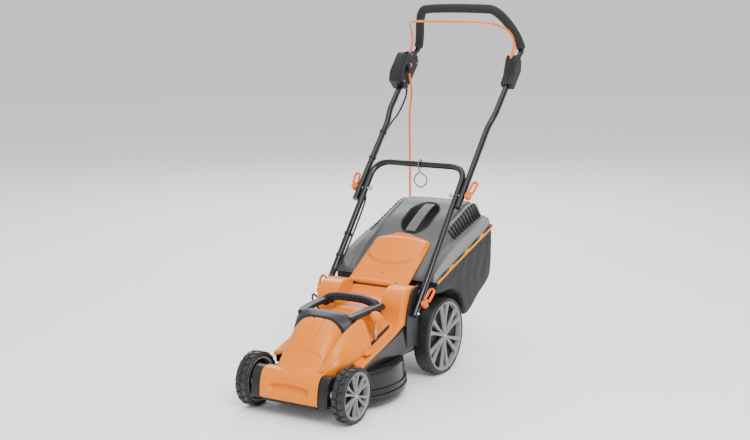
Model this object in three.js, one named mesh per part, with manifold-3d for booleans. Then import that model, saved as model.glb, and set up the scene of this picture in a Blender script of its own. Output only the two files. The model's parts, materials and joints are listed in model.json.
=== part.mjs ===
// Corded electric rotary lawn mower with a rear grass box, folding handle and height adjustment.
// Millimetres, +Z up, front towards -Y. X = 0 is the plane of symmetry, and in the working
// group Y = 0 is the rear wheels' axis; the group is moved at the end so that the origin is
// under the middle of the machine, on the ground.
import * as THREE from "three";
import { mergeVertices } from "three/addons/utils/BufferGeometryUtils.js";
import Module from "manifold-3d";

const wasm = await Module();
wasm.setup();

// ---------- driving dimensions ----------
const ORIGIN_SHIFT_Y = 39.5; // from the rear axis to the middle of the machine's length
const GAP = 0.35; // clearance between pieces that touch

const FRONT_WHEEL = { y: -536, radius: 80, inner: 142, outer: 185, rim: 69, sides: 26 };
const REAR_WHEEL = { y: 0, radius: 120, inner: 130, outer: 185, rim: 110, sides: 30 };
const AXLE_RADIUS = 6;
const CRANK = { y: 50, z: -10, thick: 6, eye: 12 }; // from pivot line to wheel centre
const LINK_ARM = 26; // upright arm from each pivot line to its tie-rod pin
const LINK_X = 116; // plane of the height linkage

const DECK = { y: -330, outer: 184, wall: 4, top: 115, bottom: 22, lip: 190, lipTop: 46 };
const SIDE_WALL_X = 148; // outer face of the deck's upright side walls
const CHUTE_X = 104; // outer half width of the discharge chute
const CHUTE_WALL = 4;
const BORE = AXLE_RADIUS + 0.6; // of the holes that the axles and stubs turn in
const MOTOR = { radius: 58, bottom: 124, top: 226, shaft: 8 };
const BLADE = { radius: 170, z: 38, width: 48, thick: 3.2 };

const LEVER = { x: 120, y: -328, z: 128, knobZ: 248 }; // height lever, pivot and knob

const TUBE = 10; // radius of both handle tubes
const LOWER_X = 167;
const UPPER_X = 187.5;
const LOWER_FOOT = { y: -163, z: 242 };
const FOLD = { y: 101, z: 551 }; // bolts between the lower and the upper handle
const CROSSBAR = { y: 172, z: 631 };
const LOOP_X = 199;
const GRIP = 15; // outer radius of the foam

const BAIL_PIVOT = { y: 450, z: 962 };
const FLAP_HINGE = { y: -116, z: 296 };
const FLAP_SLOPE = Math.atan2(107, 178); // the flap and the box lid rise at this angle
const BOX_SLIDE = { y: Math.cos(FLAP_SLOPE), z: Math.sin(FLAP_SLOPE) };

const LEAD = 3.75; // radius of the mains lead
const CABLE = 3.2; // radius of the motor cable
const COIL = { x: -80, y: 345, mean: 67.5, half: 20 };
const PLUG = { x: -22, y: 258, z: 17 }; // where the lead enters the plug, which lies along X

// ---------- materials ----------
const finish = (color, roughness, metalness = 0) =>
  new THREE.MeshStandardMaterial({ color, roughness, metalness });
const ORANGE = finish(0xf58a1e, 0.35);
const CAM_ORANGE = finish(0xe8551c, 0.4);
const BLACK = finish(0x2b2c2e, 0.5);
const DARK_GREY = finish(0x3f4346, 0.55);
const LID_GREY = finish(0x7d7e7e, 0.55);
const SILVER_PLASTIC = finish(0xb4b5b6, 0.45);
const TYRE = finish(0x232324, 0.8);
const FABRIC = finish(0x1f2023, 0.95);
const FOAM = finish(0x1c1c1d, 0.95);
const TUBE_PAINT = finish(0x17181a, 0.3, 0.2);
const STEEL = finish(0xb8babc, 0.3, 1);
const CAST = finish(0x8f9296, 0.5, 0.9);
const COPPER = finish(0xa8623a, 0.5, 0.8);
const LEAD_ORANGE = finish(0xe8743b, 0.5);

// ---------- solids ----------
function solidOf(geometry) {
  const flat = geometry.index ? geometry.toNonIndexed() : geometry;
  const bare = new THREE.BufferGeometry();
  bare.setAttribute("position", flat.getAttribute("position"));
  const merged = mergeVertices(bare, 1e-3);
  const vertProperties = merged.attributes.position.array;
  const triVerts = new Uint32Array(merged.index.array);
  const solid = new wasm.Manifold(new wasm.Mesh({ numProp: 3, vertProperties, triVerts }));
  if (solid.volume() > 0) return solid;
  triVerts.reverse(); // the outline ran the other way round, so its faces are turned out
  return new wasm.Manifold(new wasm.Mesh({ numProp: 3, vertProperties, triVerts }));
}

function geometryOf(solid) {
  const mesh = solid.getMesh();
  const position = new Float32Array(mesh.numVert * 3);
  for (let i = 0; i < mesh.numVert; i++) {
    const at = i * mesh.numProp;
    position.set(mesh.vertProperties.subarray(at, at + 3), i * 3);
  }
  const geometry = new THREE.BufferGeometry();
  geometry.setAttribute("position", new THREE.BufferAttribute(position, 3));
  geometry.setIndex(new THREE.BufferAttribute(mesh.triVerts, 1));
  geometry.computeVertexNormals();
  return geometry;
}

const join = (...solids) => solids.flat(2).reduce((a, b) => a.add(b));
const cut = (solid, ...tools) => tools.flat(2).reduce((a, b) => a.subtract(b), solid);
const bothSides = (make) => [make(1), make(-1)];

function outlineOf(points) {
  return new THREE.Shape(points.map(([u, v]) => new THREE.Vector2(u, v)));
}

// A bar with round ends, from point a to point b.
function capsule([u0, v0], [u1, v1], radius) {
  const along = Math.atan2(v1 - v0, u1 - u0);
  const shape = new THREE.Shape();
  shape.absarc(u0, v0, radius, along + Math.PI / 2, along + (3 * Math.PI) / 2, false);
  shape.absarc(u1, v1, radius, along - Math.PI / 2, along + Math.PI / 2, false);
  return shape;
}

// The points of a strip of even thickness on the left of a line, which it starts with.
function stripPoints(points, thickness) {
  const offset = points.map(([u, v], i) => {
    const before = points[Math.max(i - 1, 0)];
    const after = points[Math.min(i + 1, points.length - 1)];
    const inward = Math.atan2(v - before[1], u - before[0]);
    const outward = Math.atan2(after[1] - v, after[0] - u);
    const a = i === 0 ? outward : inward;
    const b = i === points.length - 1 ? inward : outward;
    const along = Math.atan2(Math.sin(a) + Math.sin(b), Math.cos(a) + Math.cos(b));
    const reach = thickness / Math.cos(along - a);
    return [u - reach * Math.sin(along), v + reach * Math.cos(along)];
  });
  return [...points, ...offset.reverse()];
}

const strip = (points, thickness) => outlineOf(stripPoints(points, thickness));

function extruded(shape, depth, matrix) {
  const geometry = new THREE.ExtrudeGeometry(shape, { depth, bevelEnabled: false, curveSegments: 6 });
  return solidOf(geometry.applyMatrix4(matrix));
}

const axes = (u, v, w, at) => new THREE.Matrix4().makeBasis(u, v, w).setPosition(at);
const X = new THREE.Vector3(1, 0, 0);
const Y = new THREE.Vector3(0, 1, 0);
const Z = new THREE.Vector3(0, 0, 1);

// Prisms with their outline in the plane across the named axis.
const prismX = (shape, x0, x1) => extruded(shape, x1 - x0, axes(Y, Z, X, new THREE.Vector3(x0, 0, 0)));
const prismY = (shape, y0, y1) =>
  extruded(shape, y1 - y0, axes(X, Z, Y.clone().negate(), new THREE.Vector3(0, y1, 0)));
const prismZ = (shape, z0, z1) => extruded(shape, z1 - z0, axes(X, Y, Z, new THREE.Vector3(0, 0, z0)));

function box(x0, x1, y0, y1, z0, z1) {
  const geometry = new THREE.BoxGeometry(x1 - x0, y1 - y0, z1 - z0);
  return solidOf(geometry.translate((x0 + x1) / 2, (y0 + y1) / 2, (z0 + z1) / 2));
}

// Two distances from the middle plane as places along X, in rising order, on sign's side.
const span = (sign, inner, outer) => (sign > 0 ? [inner, outer] : [-outer, -inner]);

// A box given by its distance from the middle plane, on the side that sign names.
const sideBox = (sign, x0, x1, ...rest) => box(...span(sign, x0, x1), ...rest);

function rod(from, to, radius, sides = 14, endRadius = radius) {
  const a = new THREE.Vector3(...from);
  const b = new THREE.Vector3(...to);
  const length = a.distanceTo(b);
  const geometry = new THREE.CylinderGeometry(endRadius, radius, length, sides);
  const turn = new THREE.Quaternion().setFromUnitVectors(Y, b.clone().sub(a).normalize());
  geometry.applyQuaternion(turn);
  return solidOf(geometry.translate(...a.add(b).multiplyScalar(0.5).toArray()));
}

const rodX = (radius, x0, x1, y, z, sides) => rod([x0, y, z], [x1, y, z], radius, sides);
const rodZ = (radius, z0, z1, x, y, sides) => rod([x, y, z0], [x, y, z1], radius, sides);

// A lathe about a vertical axis; the profile is a list of [radius, z].
function turned(profile, sides, x = 0, y = 0) {
  const points = profile.map(([r, z]) => new THREE.Vector2(r, z));
  const geometry = new THREE.LatheGeometry(points, sides);
  geometry.rotateX(Math.PI / 2);
  return solidOf(geometry.translate(x, y, 0));
}

// The same about an axis along X, with one of its flats underneath when the count of sides is
// even; the profile is a list of [radius, distance along X].
function turnedX(profile, sides, y, z) {
  const points = profile.map(([r, x]) => new THREE.Vector2(r, x));
  const geometry = new THREE.LatheGeometry(points, sides, Math.PI / sides);
  geometry.rotateZ(-Math.PI / 2);
  return solidOf(geometry.translate(0, y, z));
}

function polygon(radius, sides) {
  const points = [];
  for (let i = 0; i < sides; i++) {
    const angle = (2 * Math.PI * i) / sides;
    points.push([radius * Math.cos(angle), radius * Math.sin(angle)]);
  }
  return outlineOf(points);
}

// A path through points, which a tube follows with one cross-section at each of them.
class Route extends THREE.Curve {
  constructor(points) {
    super();
    this.points = points;
  }
  getPoint(t) {
    const at = t * (this.points.length - 1);
    const i = Math.min(Math.floor(at + 1e-6), this.points.length - 2);
    return this.points[i].clone().lerp(this.points[i + 1], at - i);
  }
  getPointAt(t) {
    return this.getPoint(t);
  }
  getTangentAt(t) {
    const last = this.points.length - 1;
    const i = Math.round(t * last);
    const here = this.points[i];
    const inward = here.clone().sub(this.points[Math.max(i - 1, 0)]).normalize();
    const outward = this.points[Math.min(i + 1, last)].clone().sub(here).normalize();
    return inward.add(outward).normalize();
  }
}

// The points of a path of lines and curves: the ends of each line and some along each curve.
function pointsAlong(path, divisions) {
  const points = [path.getPoint(0)];
  for (const part of path.curves) {
    const count = part.isLineCurve3 ? 1 : divisions;
    for (let i = 1; i <= count; i++) points.push(part.getPoint(i / count));
  }
  return points;
}

// A solid bar of round section along points.
function pipe(points, radius, sides = 10) {
  const options = { steps: points.length - 1, extrudePath: new Route(points), bevelEnabled: false };
  return solidOf(new THREE.ExtrudeGeometry(polygon(radius, sides), options));
}

const hollowPipe = (points, outer, inner, sides) =>
  cut(pipe(points, outer, sides), pipe(points, inner, sides));
const vec = ([x, y, z]) => new THREE.Vector3(x, y, z);
const mirror = ([x, y, z]) => [-x, y, z];

// A smooth curve through points, as closer points.
function smooth(points, between) {
  const curve = new THREE.CatmullRomCurve3(points.map(vec), false, "centripetal");
  return curve.getPoints((points.length - 1) * between);
}

// A body through rings of points: every ring has the same count, and both ends are closed.
function lofted(rings) {
  const count = rings[0].length;
  const position = [];
  const put = (...points) => points.forEach((p) => position.push(...p));
  for (let r = 0; r + 1 < rings.length; r++) {
    for (let i = 0; i < count; i++) {
      const j = (i + 1) % count;
      put(rings[r][i], rings[r][j], rings[r + 1][j]);
      put(rings[r][i], rings[r + 1][j], rings[r + 1][i]);
    }
  }
  // A cap's triangles all turn the same way, so the ring's own sense decides which way they face.
  const cap = (ring, last) => {
    const flat = ring.map(([x, , z]) => new THREE.Vector2(x, z));
    const faces = THREE.ShapeUtils.triangulateShape(flat, []);
    const sense = (points) => Math.sign(THREE.ShapeUtils.area(points));
    const along = sense(faces[0].map((i) => flat[i])) === sense(flat);
    for (const [a, b, c] of faces) {
      if (along === last) put(ring[a], ring[b], ring[c]);
      else put(ring[a], ring[c], ring[b]);
    }
  };
  cap(rings[0], false);
  cap(rings[rings.length - 1], true);
  const geometry = new THREE.BufferGeometry();
  geometry.setAttribute("position", new THREE.Float32BufferAttribute(position, 3));
  return solidOf(geometry);
}

// ---------- scene graph ----------
const mower = new THREE.Group();
mower.position.y = ORIGIN_SHIFT_Y;

function piece(name, solid, material) {
  const mesh = new THREE.Mesh(geometryOf(solid), material);
  mesh.name = name;
  mower.add(mesh);
}

const sideName = (sign) => (sign > 0 ? "left" : "right"); // as the person pushing sees it

// ---------- wheels and height adjustment ----------
const pivotOf = (wheel) => ({ y: wheel.y - CRANK.y, z: wheel.radius - CRANK.z });

function makeWheel(end, wheel, sign) {
  const { y, radius, inner, outer, rim, sides } = wheel;
  const label = end + "_wheel_" + sideName(sign);
  const toCorner = 1 / Math.cos(Math.PI / sides); // so that the flats have the stated radius
  const lathe = (profile) =>
    turnedX(profile.map(([r, x]) => [r * toCorner, sign * x]), sides, y, radius);
  const tyre = [
    [rim + GAP, inner + 2],
    [rim + GAP, outer - 1],
    [radius - 4, outer],
    [radius, outer - 7],
    [radius, inner + 7],
    [radius - 4, inner],
    [rim + GAP, inner + 2],
  ];
  piece(label + "_tyre", lathe(tyre), TYRE);

  const face = outer - 4;
  const barrel = [
    [rim - 8, inner + 4],
    [rim - 8, face],
    [rim, face + 1],
    [rim, inner + 4],
    [rim - 8, inner + 4],
  ];
  const web = [
    [0, face - 20],
    [0, face - 16],
    [rim - 5, face - 16],
    [rim - 5, face - 20],
    [0, face - 20],
  ];
  const hub = sign * (inner - 3.5);
  const spokes = [];
  const reach = rim - 5;
  for (let pair = 0; pair < 6; pair++) {
    for (const lean of [-1, 1]) {
      const angle = (Math.PI / 3) * pair + lean * 0.19;
      const from = [sign * (face - 9), y, radius];
      const to = [from[0], y + reach * Math.sin(angle), radius + reach * Math.cos(angle)];
      spokes.push(rod(from, to, rim * 0.045, 4));
    }
  }
  const hubBoss = rodX(15, Math.min(hub, sign * face), Math.max(hub, sign * face), y, radius, 14);
  const bore = rodX(BORE, -200, 200, y, radius, 12);
  const rimSolid = cut(join(lathe(barrel), lathe(web), spokes, hubBoss), bore);
  piece(label + "_rim", rimSolid, SILVER_PLASTIC);
}

for (const [end, wheel] of [["front", FRONT_WHEEL], ["rear", REAR_WHEEL]]) {
  makeWheel(end, wheel, 1);
  makeWheel(end, wheel, -1);
}

// A cranked axle: one bar on the pivot line, a crank at each end and a stub for each wheel.
function crankedAxle(wheel) {
  const pivot = pivotOf(wheel);
  const crankX = wheel.inner - 4.5;
  const arms = capsule([pivot.y, pivot.z], [wheel.y, wheel.radius], CRANK.eye);
  const crank = (sign) => {
    const x0 = Math.min(sign * crankX, sign * (crankX - CRANK.thick));
    return prismX(arms, x0, x0 + CRANK.thick);
  };
  const stub = (sign) => {
    const ends = [sign * (crankX - 3), sign * (wheel.outer - 5)].sort((p, q) => p - q);
    return rodX(AXLE_RADIUS, ends[0], ends[1], wheel.y, wheel.radius, 12);
  };
  const bar = rodX(AXLE_RADIUS, -crankX + 3, crankX - 3, pivot.y, pivot.z, 12);
  const arm = join(
    rodX(6.5, LINK_X - 2.5, LINK_X + 2.5, pivot.y, pivot.z + LINK_ARM),
    box(LINK_X - 2.5, LINK_X + 2.5, pivot.y - 7, pivot.y + 7, pivot.z, pivot.z + LINK_ARM),
    rodX(3.8, LINK_X - 9.5, LINK_X, pivot.y, pivot.z + LINK_ARM, 10),
  );
  return join(bar, bothSides(crank), bothSides(stub), arm);
}

const FRONT_PIVOT = pivotOf(FRONT_WHEEL);
const REAR_PIVOT = pivotOf(REAR_WHEEL);
piece("front_axle", crankedAxle(FRONT_WHEEL), STEEL);
piece("rear_axle", crankedAxle(REAR_WHEEL), STEEL);

// One flat bar ties the two cranks and the height lever together.
function makeTieRod() {
  const pins = [FRONT_PIVOT, LEVER, REAR_PIVOT].map(({ y, z }) => [y, z + LINK_ARM]);
  const x0 = LINK_X - 8.5;
  const bars = [0, 1].map((i) => prismX(capsule(pins[i], pins[i + 1], 6), x0, x0 + 5));
  const holes = pins.map(([y, z]) => rodX(4.5, x0 - 5, x0 + 10, y, z, 10));
  piece("height_tie_rod", cut(join(bars), holes), STEEL);
}
makeTieRod();

function makeLever() {
  const { x, y, z, knobZ } = LEVER;
  const arm = join(
    box(LINK_X - 2.5, LINK_X + 2.5, y - 7, y + 7, z - 7, z + LINK_ARM + 6),
    rodX(3.8, LINK_X - 9.5, LINK_X, y, z + LINK_ARM, 10),
    rodX(9, LINK_X - 2.5, x + 4, y, z, 20),
    box(x - 1.5, x + 1.5, y - 6, y + 6, z - 6, knobZ - 11),
  );
  piece("height_lever", join(arm, rodX(4, LINK_X - 16.5, x + 14.5, y, z, 12)), STEEL);
  const profile = [
    [0, knobZ - 20],
    [9, knobZ - 19],
    [21, knobZ],
    [17, knobZ + 14],
    [0, knobZ + 19],
  ];
  const socket = box(x - 2, x + 2, y - 6.5, y + 6.5, knobZ - 30, knobZ - 10.5);
  piece("height_knob", cut(turned(profile, 16, x, y), socket), ORANGE);
}
makeLever();

// ---------- deck ----------
const DECK_SIDE = [[-455, 112], [-457, 134], [-341, 163], [-215, 198], [-193, 212], [-140, 212], [-140, 112]];
const CHUTE_SIDE = [
  [-190, 60],
  [-190, 115],
  [-130, 291],
  [-112, 291],
  [-112, 148],
  [-38, 148],
  [-38, 112],
  [-140, 112],
  [-140, 60],
];
const CHUTE_ROOF = [[-178, 112], [-172, 112], [-116, 264], [-116, 288], [-121, 288]];
const CHUTE_FLOOR = [[-146, 50], [-141, 50], [-112, 140], [-112, 148], [-117, 148]];

function makeDeck() {
  const { y, outer, wall, top, bottom, lip, lipTop } = DECK;
  const inside = outer - wall;
  const volute = turned(
    [
      [0, top],
      [outer, top],
      [outer + 3, 80],
      [outer, lipTop],
      [lip, lipTop],
      [lip, bottom],
      [lip - wall, bottom],
      [lip - wall, lipTop - wall],
      [inside, lipTop - wall],
      [inside, top - wall],
      [0, top - wall],
    ],
    32,
    0,
    y,
  );
  const exit = box(CHUTE_WALL - CHUTE_X, CHUTE_X - CHUTE_WALL, -215, -100, 52, top - wall);
  const plate = box(-SIDE_WALL_X, SIDE_WALL_X, -455, -140, top - 4, top);
  const front = box(-124, 124, -602, -440, top - 5, top);
  const chutePlate = (sign) => prismX(outlineOf(CHUTE_SIDE), ...span(sign, CHUTE_X - CHUTE_WALL, CHUTE_X));
  const wallPlate = (sign) => prismX(outlineOf(DECK_SIDE), ...span(sign, SIDE_WALL_X - 3.5, SIDE_WALL_X));
  const frontLug = (sign) => sideBox(sign, 88, 96, -601, -577, 74, top - 2);
  const leverLug = (sign) => {
    const x = LINK_X + 1 + 16 * sign;
    return box(x - 2, x + 2, LEVER.y - 10, LEVER.y + 10, top - 2, LEVER.z + 9);
  };
  const hingeLug = (sign) => sideBox(sign, 100, 104, -122, -112, 280, 301);
  const roof = prismX(outlineOf(CHUTE_ROOF), -CHUTE_X, CHUTE_X);
  const floor = prismX(outlineOf(CHUTE_FLOOR), -CHUTE_X, CHUTE_X);
  const mouth = box(CHUTE_WALL - CHUTE_X, CHUTE_X - CHUTE_WALL, -172, -100, top - 20, top + 5);
  const body = join(
    cut(join(cut(volute, exit), plate, front), mouth),
    bothSides(chutePlate),
    bothSides(wallPlate),
    bothSides(frontLug),
    bothSides(leverLug),
    bothSides(hingeLug),
    roof,
    floor,
  );
  const holes = [
    rodZ(26, 100, 130, 0, y, 28),
    rodX(BORE, -130, 130, FRONT_PIVOT.y, FRONT_PIVOT.z, 12),
    rodX(BORE, -130, 130, REAR_PIVOT.y, REAR_PIVOT.z, 12),
    rodX(4.4, LINK_X - 30, LINK_X + 30, LEVER.y, LEVER.z, 16),
    box(LINK_X - 12, LINK_X + 5, -598.5, -500, 96, 126),
    rodX(3.4, -120, 120, FLAP_HINGE.y, FLAP_HINGE.z, 14),
  ];
  piece("deck_shell", cut(body, holes), BLACK);
}
makeDeck();

// ---------- orange covers ----------
const HOOD = [
  { y: -588, half: 66, top: 137 },
  { y: -560, half: 72, top: 160 },
  { y: -530, half: 79, top: 195 },
  { y: -500, half: 85, top: 226 },
  { y: -461, half: 91, top: 255 },
  { y: -420, half: 96, top: 268 },
  { y: -396, half: 98, top: 270 },
  { y: -366, half: 98, top: 256 },
  { y: -336, half: 98, top: 249 },
  { y: -296, half: 98, top: 252 },
  { y: -232, half: 96, top: 258 },
];
const HOOD_FOOT = DECK.top + GAP;

// The upper half of a rounded cross-section, from one foot over the crown to the other.
function archOf(half, foot, top, steps = 12) {
  const points = [];
  for (let i = 0; i <= steps; i++) {
    const angle = (Math.PI * i) / steps;
    const across = Math.cos(angle);
    const side = Math.sign(across) * Math.abs(across) ** 0.6;
    points.push([-half * side, foot + (top - foot) * Math.sin(angle) ** 0.75]);
  }
  return points;
}

function shellRing(y, outer, inner) {
  return [...outer, ...[...inner].reverse()].map(([x, z]) => [x, y, z]);
}

function makeHood() {
  const rings = HOOD.map(({ y, half, top }) => {
    const outer = archOf(half, HOOD_FOOT, top);
    return shellRing(y, outer, archOf(half - 3, HOOD_FOOT, top - 3));
  });
  piece("motor_hood", lofted(rings), ORANGE);
}
makeHood();

const RAIL_EDGE = [[-455, 139], [-341, 168], [-232, 198]];
const SHOULDER = [[-229, 204], [-226, 270], [-206, 303], [-150, 309], [-124, 300]];
const CHANNEL = [[-229, 204], [-229, 262], [-146, 264], [-133, 276]];
const COVER_IN = 79; // faces of each shoulder, towards the channel and towards the wheel
const COVER_OUT = 150.5;

function makeDeckCover() {
  const rail = (sign) =>
    lofted(
      RAIL_EDGE.map(([y, z]) => {
        const line = [
          [COVER_OUT, z],
          [COVER_OUT, z + 4],
          [101, z + 17],
          [101, z + 13.5],
          [147, z + 1.5],
          [147, z],
        ];
        return line.map(([x, h]) => [sign * x, y, h]);
      }),
    );
  const shoulder = (sign) => prismX(strip(SHOULDER, -3), ...span(sign, COVER_IN, COVER_OUT));
  const cheek = (sign) => {
    const outline = outlineOf([...SHOULDER, [-124, 240], [-190, 214]]);
    return [
      prismX(outline, ...span(sign, COVER_OUT - 2.5, COVER_OUT)),
      prismX(outline, ...span(sign, COVER_IN, COVER_IN + 3)),
    ];
  };
  const bridge = (sign) => sideBox(sign, 101, COVER_OUT, -236, -227, 199, 210);
  const channel = prismX(strip(CHANNEL, -3), -80, 80);
  const slots = [sideBox(1, 116, 124, -367, -247, 120, 260)];
  const tower = [box(-108, 108, -190, -118, 100, 262), box(-105, 105, -136, -118, 255, 292)];
  const cover = join(bothSides(rail), bothSides(shoulder), bothSides(cheek), bothSides(bridge), channel);
  piece("deck_cover", cut(cover, slots, tower), ORANGE);
}
makeDeckCover();

// The apron in front of the hood, with a recess across it and a dark fender at each end.
function makeFrontApron() {
  const face = [[-590, 136], [-607, 112], [-612, 84], [-612, 56]];
  const front = prismX(strip(face, 3), -128, 128);
  const top = box(-128, 128, -602.5, -560, HOOD_FOOT, HOOD_FOOT + 3);
  const ends = bothSides((sign) => {
    const outline = outlineOf([
      [-590, 134],
      [-607, 111],
      [-611, 84],
      [-611, 56],
      [-560, 56],
      [-560, 118],
    ]);
    return prismX(outline, ...span(sign, 125.5, 128));
  });
  const holes = [
    rodX(BORE, -140, 140, FRONT_PIVOT.y, FRONT_PIVOT.z, 20),
    box(-74, 74, -589, -550, HOOD_FOOT - 0.5, 145),
    box(LINK_X - 12, LINK_X + 5, -598.5, -550, 96, 125),
    box(-124.5, 124.5, -602.5, -500, DECK.top - 6, DECK.top + GAP),
  ];
  piece("front_apron", cut(join(front, top, ends), holes), ORANGE);
}
makeFrontApron();

function makeCarryHandle() {
  const band = lofted(
    [-420, -398].map((y) => shellRing(y, archOf(106, 215, 281), archOf(99.5, 215, 272.5))),
  );
  const arm = (sign) => rod([sign * 88, -402, 256], [sign * 86, -264, 262], 9, 12);
  const foot = (sign) => rodZ(8, 236, 264, sign * 86, -262, 12);
  const halfBow = [[86, -264, 262], [55, -266, 275]];
  const bow = smooth([...halfBow, [0, -268, 280], ...[...halfBow].reverse().map(mirror)], 3);
  piece("carry_handle", join(band, bothSides(arm), bothSides(foot), pipe(bow, 9, 12)), DARK_GREY);
}
makeCarryHandle();

// ---------- motor, fan and blade ----------
function makeMotor() {
  const { radius, bottom, top, shaft } = MOTOR;
  const at = [20, 0, DECK.y];
  const ring = (outer, inner, z0, z1) =>
    turned([[inner, z0], [outer, z0], [outer, z1], [inner, z1], [inner, z0]], ...at);
  const lower = [
    [26, DECK.top + GAP],
    [40, DECK.top + GAP],
    [radius, bottom + 6],
    [radius, bottom + 22],
    [radius - 4, bottom + 22],
    [radius - 4, bottom + 8],
    [15, bottom + 8],
    [15, bottom],
    [26, bottom],
    [26, DECK.top + GAP],
  ];
  piece("motor_lower_bell", turned(lower, ...at), CAST);
  const upper = [
    [15, top - 8],
    [radius - 4, top - 8],
    [radius - 4, top - 24],
    [radius, top - 24],
    [radius, top - 6],
    [radius - 10, top],
    [15, top],
    [15, top - 8],
  ];
  piece("motor_upper_bell", turned(upper, ...at), CAST);
  const windings = ring(46, 34, bottom + 9, top - 9);
  piece("motor_stator", join(ring(radius - 1, 33, bottom + 23, top - 25), windings), STEEL);
  piece("lower_bearing", ring(14.6, shaft + 0.4, bottom, bottom + 8), STEEL);
  piece("upper_bearing", ring(14.6, shaft + 0.4, top - 8, top), STEEL);
  const rotor = [
    [0, 62],
    [shaft, 62],
    [shaft, bottom + 26],
    [31, bottom + 26],
    [31, top - 28],
    [shaft, top - 28],
    [shaft, top + 15],
    [0, top + 15],
  ];
  const fanHub = ring(14, shaft - 1, top + 2, top + 13);
  const blades = [];
  for (let i = 0; i < 6; i++) {
    const angle = (Math.PI * i) / 3;
    const reach = (r) => [r * Math.cos(angle), DECK.y + r * Math.sin(angle), top + 8];
    blades.push(rod(reach(12), reach(42), 4, 4));
  }
  piece("motor_rotor", join(turned(rotor, ...at), fanHub, blades), COPPER);
  piece("run_capacitor", rodZ(17, HOOD_FOOT + 1, 186, -45, -462, 24), SILVER_PLASTIC);
}
makeMotor();

function makeBlade() {
  const { radius, z, width, thick } = BLADE;
  const half = width / 2;
  const tip = radius - 2;
  const blank = [
    [-tip, -half],
    [tip - 50, -half],
    [tip, -half + 12],
    [tip, half],
    [-tip + 50, half],
    [-tip, half - 12],
  ];
  const plate = prismZ(outlineOf(blank.map(([u, v]) => [u, DECK.y + v])), z, z + thick);
  const wings = bothSides((sign) => {
    const x = sign * (tip - 32);
    return box(x - 22, x + 22, DECK.y + sign * half - 3, DECK.y + sign * half, z, z + 16);
  });
  const hole = rodZ(8.4, z - 5, z + 30, 0, DECK.y, 20);
  piece("blade", cut(join(plate, wings), hole), STEEL);
  const holder = [
    [8.4, z + thick + GAP],
    [32, z + thick + GAP],
    [30, z + 12],
    [16, 60],
    [16, 84],
    [8.4, 84],
    [8.4, z + thick + GAP],
  ];
  piece("blade_holder", turned(holder, 24, 0, DECK.y), CAST);
  const bolt = [[0, z - 9], [11, z - 9], [11, z - GAP], [8, z - GAP], [8, 61], [0, 61]];
  piece("blade_bolt", turned(bolt, 6, 0, DECK.y), STEEL);
}
makeBlade();

// ---------- handles ----------
const EAR = [
  [-206, 118],
  [-134, 118],
  [-134, 246],
  [-118, 262],
  [-112, 296],
  [-128, 310],
  [-160, 306],
  [-190, 262],
  [-206, 214],
];
const FOOT_BOLT = { y: -150, z: 257 };
const FOOT_PEG = { y: -172, z: 231.5 };
const boltX = [LOWER_X - TUBE - 8, UPPER_X + TUBE + 6];

// A bent tube through points, with round corners and open ends.
function uTube(points, corner, radius, sides) {
  const path = new THREE.CurvePath();
  let from = vec(points[0]);
  for (let i = 1; i < points.length; i++) {
    const to = vec(points[i]);
    if (i + 1 < points.length) {
      const back = from.clone().sub(to).setLength(corner);
      const on = vec(points[i + 1]).sub(to).setLength(corner);
      path.add(new THREE.LineCurve3(from, to.clone().add(back)));
      path.add(new THREE.QuadraticBezierCurve3(to.clone().add(back), to, to.clone().add(on)));
      from = to.clone().add(on);
    } else {
      path.add(new THREE.LineCurve3(from, to));
    }
  }
  return hollowPipe(pointsAlong(path, 5), radius, radius - 1.3, sides);
}

function makeLowerHandle() {
  const lean = Math.atan2(CROSSBAR.z - LOWER_FOOT.z, CROSSBAR.y - LOWER_FOOT.y);
  const start = { y: LOWER_FOOT.y - 24 * Math.cos(lean), z: LOWER_FOOT.z - 24 * Math.sin(lean) };
  const points = [
    [LOWER_X, start.y, start.z],
    [LOWER_X, CROSSBAR.y, CROSSBAR.z],
    [-LOWER_X, CROSSBAR.y, CROSSBAR.z],
    [-LOWER_X, start.y, start.z],
  ];
  const tube = uTube(points, 58, TUBE, 10);
  const holes = [FOLD, FOOT_BOLT, FOOT_PEG].map(({ y, z }) => rodX(4.8, -200, 200, y, z, 8));
  piece("lower_handle", cut(tube, holes), TUBE_PAINT);

  for (const sign of [1, -1]) {
    const across = (x0, x1) => span(sign, x0, x1);
    const plate = prismX(outlineOf(EAR), ...across(SIDE_WALL_X + 3, LOWER_X - TUBE - GAP));
    const peg = rodX(4, ...across(LOWER_X - TUBE - 3, LOWER_X + TUBE + 4), FOOT_PEG.y, FOOT_PEG.z, 12);
    const bolt = rodX(4, ...across(SIDE_WALL_X + 4, LOWER_X + TUBE + 13), FOOT_BOLT.y, FOOT_BOLT.z, 12);
    piece("handle_bracket_" + sideName(sign), join(plate, peg, bolt), BLACK);
    const fold = rodX(4, ...across(...boltX), FOLD.y, FOLD.z, 12);
    const head = rodX(8, ...across(boltX[0] - 5, boltX[0]), FOLD.y, FOLD.z, 6);
    piece("fold_bolt_" + sideName(sign), join(fold, head), STEEL);
  }
  const hook = [
    [0, 175, 618],
    [0, 187, 628],
    [0, 178, 645],
    [0, 160, 640],
    [0, 158, 622],
    [4, 168, 604],
    [21, 172, 590],
    [21, 172, 570],
    [0, 172, 556],
    [-21, 172, 570],
    [-21, 172, 588],
    [-6, 172, 603],
  ];
  piece("cable_hook", pipe(smooth(hook, 2), 2.2, 6), STEEL);
}
makeLowerHandle();

const UPPER_START = [UPPER_X, FOLD.y - 32, FOLD.z - 34];
const BEND_START = [UPPER_X, 275, 740];
const BEND_END = [LOOP_X - 1.5, 329, 799];
const LOOP_START = [LOOP_X, 499.5, 973.2];
const LOOP_OUT = [LOOP_X, 574, 986.6];
const LOOP_IN = [166.9, 436.8, 1123.9];
const LOOP_TOP = [116.8, 436.8, 1123.9];
const BEND_STEPS = 6; // straight steps that stand for each bend of the upper tube

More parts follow.
